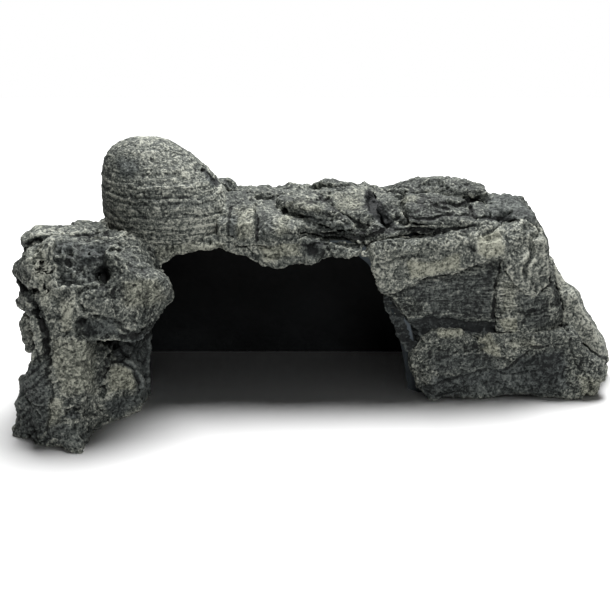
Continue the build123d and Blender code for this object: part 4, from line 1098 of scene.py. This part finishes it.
column.paint("slate_and_painted_shade", (3, 0.6, (0.31, 0.72), (0.7, 0.76), (0.78, 0.24), (0.4, 0.21)))
carve(column, coarse=0.5, cracks=0.3)
weather(column, beds=1.0, pitch=3.2)
place(column, striped_rock, "rock_dark")

light_rock = rock_coat("painted_rock_light", 0.14)

end = Rock("end_slab", 0.8)
end.plate([
    (0.34, 0.4), (0.55, 0.32), (0.78, 0.22), (1.01, 0.12), (1.02, 0.3), (0.46, 0.72)
], -1, 0.8)
end.cuts(
    (1, 1.8, (0.34, 0.4), (0.46, 0.36), (0.55, 0.32), (0.65, 0.27), (0.78, 0.22), (1.01, 0.12)),
    (1.2, 2, (0.23, 0.74), (0.28, 0.63), (0.34, 0.51), (0.38, 0.39)),
    (1, 1.4, (0.38, 0.39), (0.47, 0.25), (0.62, 0.1), (0.81, -0.03)),
)
carve(end, coarse=0.4, cracks=0.2)
weather(end, beds=0.6, bedding=(0.5, 0, 0.87), fine=0.4, pitting=0.25, veins=0.5)
place(end, light_rock, "rock_pale")


# ---------------------------------------------------------------- Flank and back
# The slab that closes the pillar's side and the three stones across the back. They are
# carved more broadly than the front, in the same resin and paint.

REAR_STONES = {
    "left_flank_slab": (-1, 0.2, 0.3),
    "rear_stone_left": (-0.6, 1, 0.3),
    "rear_stone_middle": (0, 1, 0.3),
    "rear_stone_right": (0.6, 1, 0.3),
}
for node, out in REAR_STONES.items():
    rear = Rock(node, 1.1)
    carve(rear, coarse=1.1, cracks=0.3, proud=1.8, grit=0.8, out=out)
    weather(rear, beds=0.6, pitch=3.6)
    place(rear, grey_rock, "rock_grey")


# ---------------------------------------------------------------- Floor, light and camera
# A sheet of white paper, a large soft box overhead and behind, and a low fill from the
# front that reaches only the rock.

side, near, far = 0.42, -0.33, 0.7
sheet = [(-side, near, 0), (side, near, 0), (side, far, 0), (-side, far, 0)]
floor_mesh = bpy.data.meshes.new("floor")
floor_mesh.from_pydata(sheet, [], [(0, 1, 2, 3)])
floor = bpy.data.objects.new("floor", floor_mesh)
bpy.context.scene.collection.objects.link(floor)
paper = Coat("white_paper")
paper.feed(paper.shader.inputs["Base Color"], (0.9, 0.9, 0.9))
paper.shader.inputs["Roughness"].default_value = 1.0
floor_mesh.materials.append(paper.mat)
floor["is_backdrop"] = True

world = bpy.data.worlds.new("studio")
bpy.context.scene.world = world
world.use_nodes = True
sky = world.node_tree
backdrop = sky.nodes["Background"]
backdrop.inputs["Color"].default_value = (1, 1, 1, 1)
backdrop.inputs["Strength"].default_value = 1.0
dim = sky.nodes.new("ShaderNodeBackground")
dim.inputs["Color"].default_value = (1, 1, 1, 1)
dim.inputs["Strength"].default_value = 0.06
seen = sky.nodes.new("ShaderNodeLightPath")
choose = sky.nodes.new("ShaderNodeMixShader")
sky.links.new(seen.outputs["Is Camera Ray"], choose.inputs["Fac"])
sky.links.new(dim.outputs["Background"], choose.inputs[1])
sky.links.new(backdrop.outputs["Background"], choose.inputs[2])
sky.links.new(choose.outputs["Shader"], sky.nodes["World Output"].inputs["Surface"])


def lamp(name, size, power, place_at, aim):
    light = bpy.data.lights.new(name, "AREA")
    light.shape = "DISK"
    light.size = size
    light.energy = power
    obj = bpy.data.objects.new(name, light)
    bpy.context.scene.collection.objects.link(obj)
    obj.location = place_at
    obj.rotation_euler = (Vector(aim) - Vector(place_at)).to_track_quat("-Z", "Y").to_euler()
    return obj


middle = (0, 0, 0.05)
lamp("overhead_softbox", 0.8, 25.5, (0.05, 0.36, 0.95), middle)
fill = lamp("front_fill", 0.5, 12, (0.25, -1.0, 0.85), middle)
rocks = bpy.data.collections.new("rock_only")
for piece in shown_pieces():
    rocks.objects.link(piece)
fill.light_linking.receiver_collection = rocks

bpy.context.scene.view_settings.view_transform = "Standard"
camera_data = bpy.data.cameras.new("camera")
camera_data.lens = 90
camera_data.sensor_width = 36
camera = bpy.data.objects.new("camera", camera_data)
bpy.context.scene.collection.objects.link(camera)
aim = Vector((-0.0095, -0.005, 0.048))
away = 0.772
tilt = math.radians(20)
camera.location = aim + away * Vector((0, -math.cos(tilt), math.sin(tilt)))
camera.rotation_euler = (math.pi / 2 - tilt, 0, 0)
bpy.context.scene.camera = camera
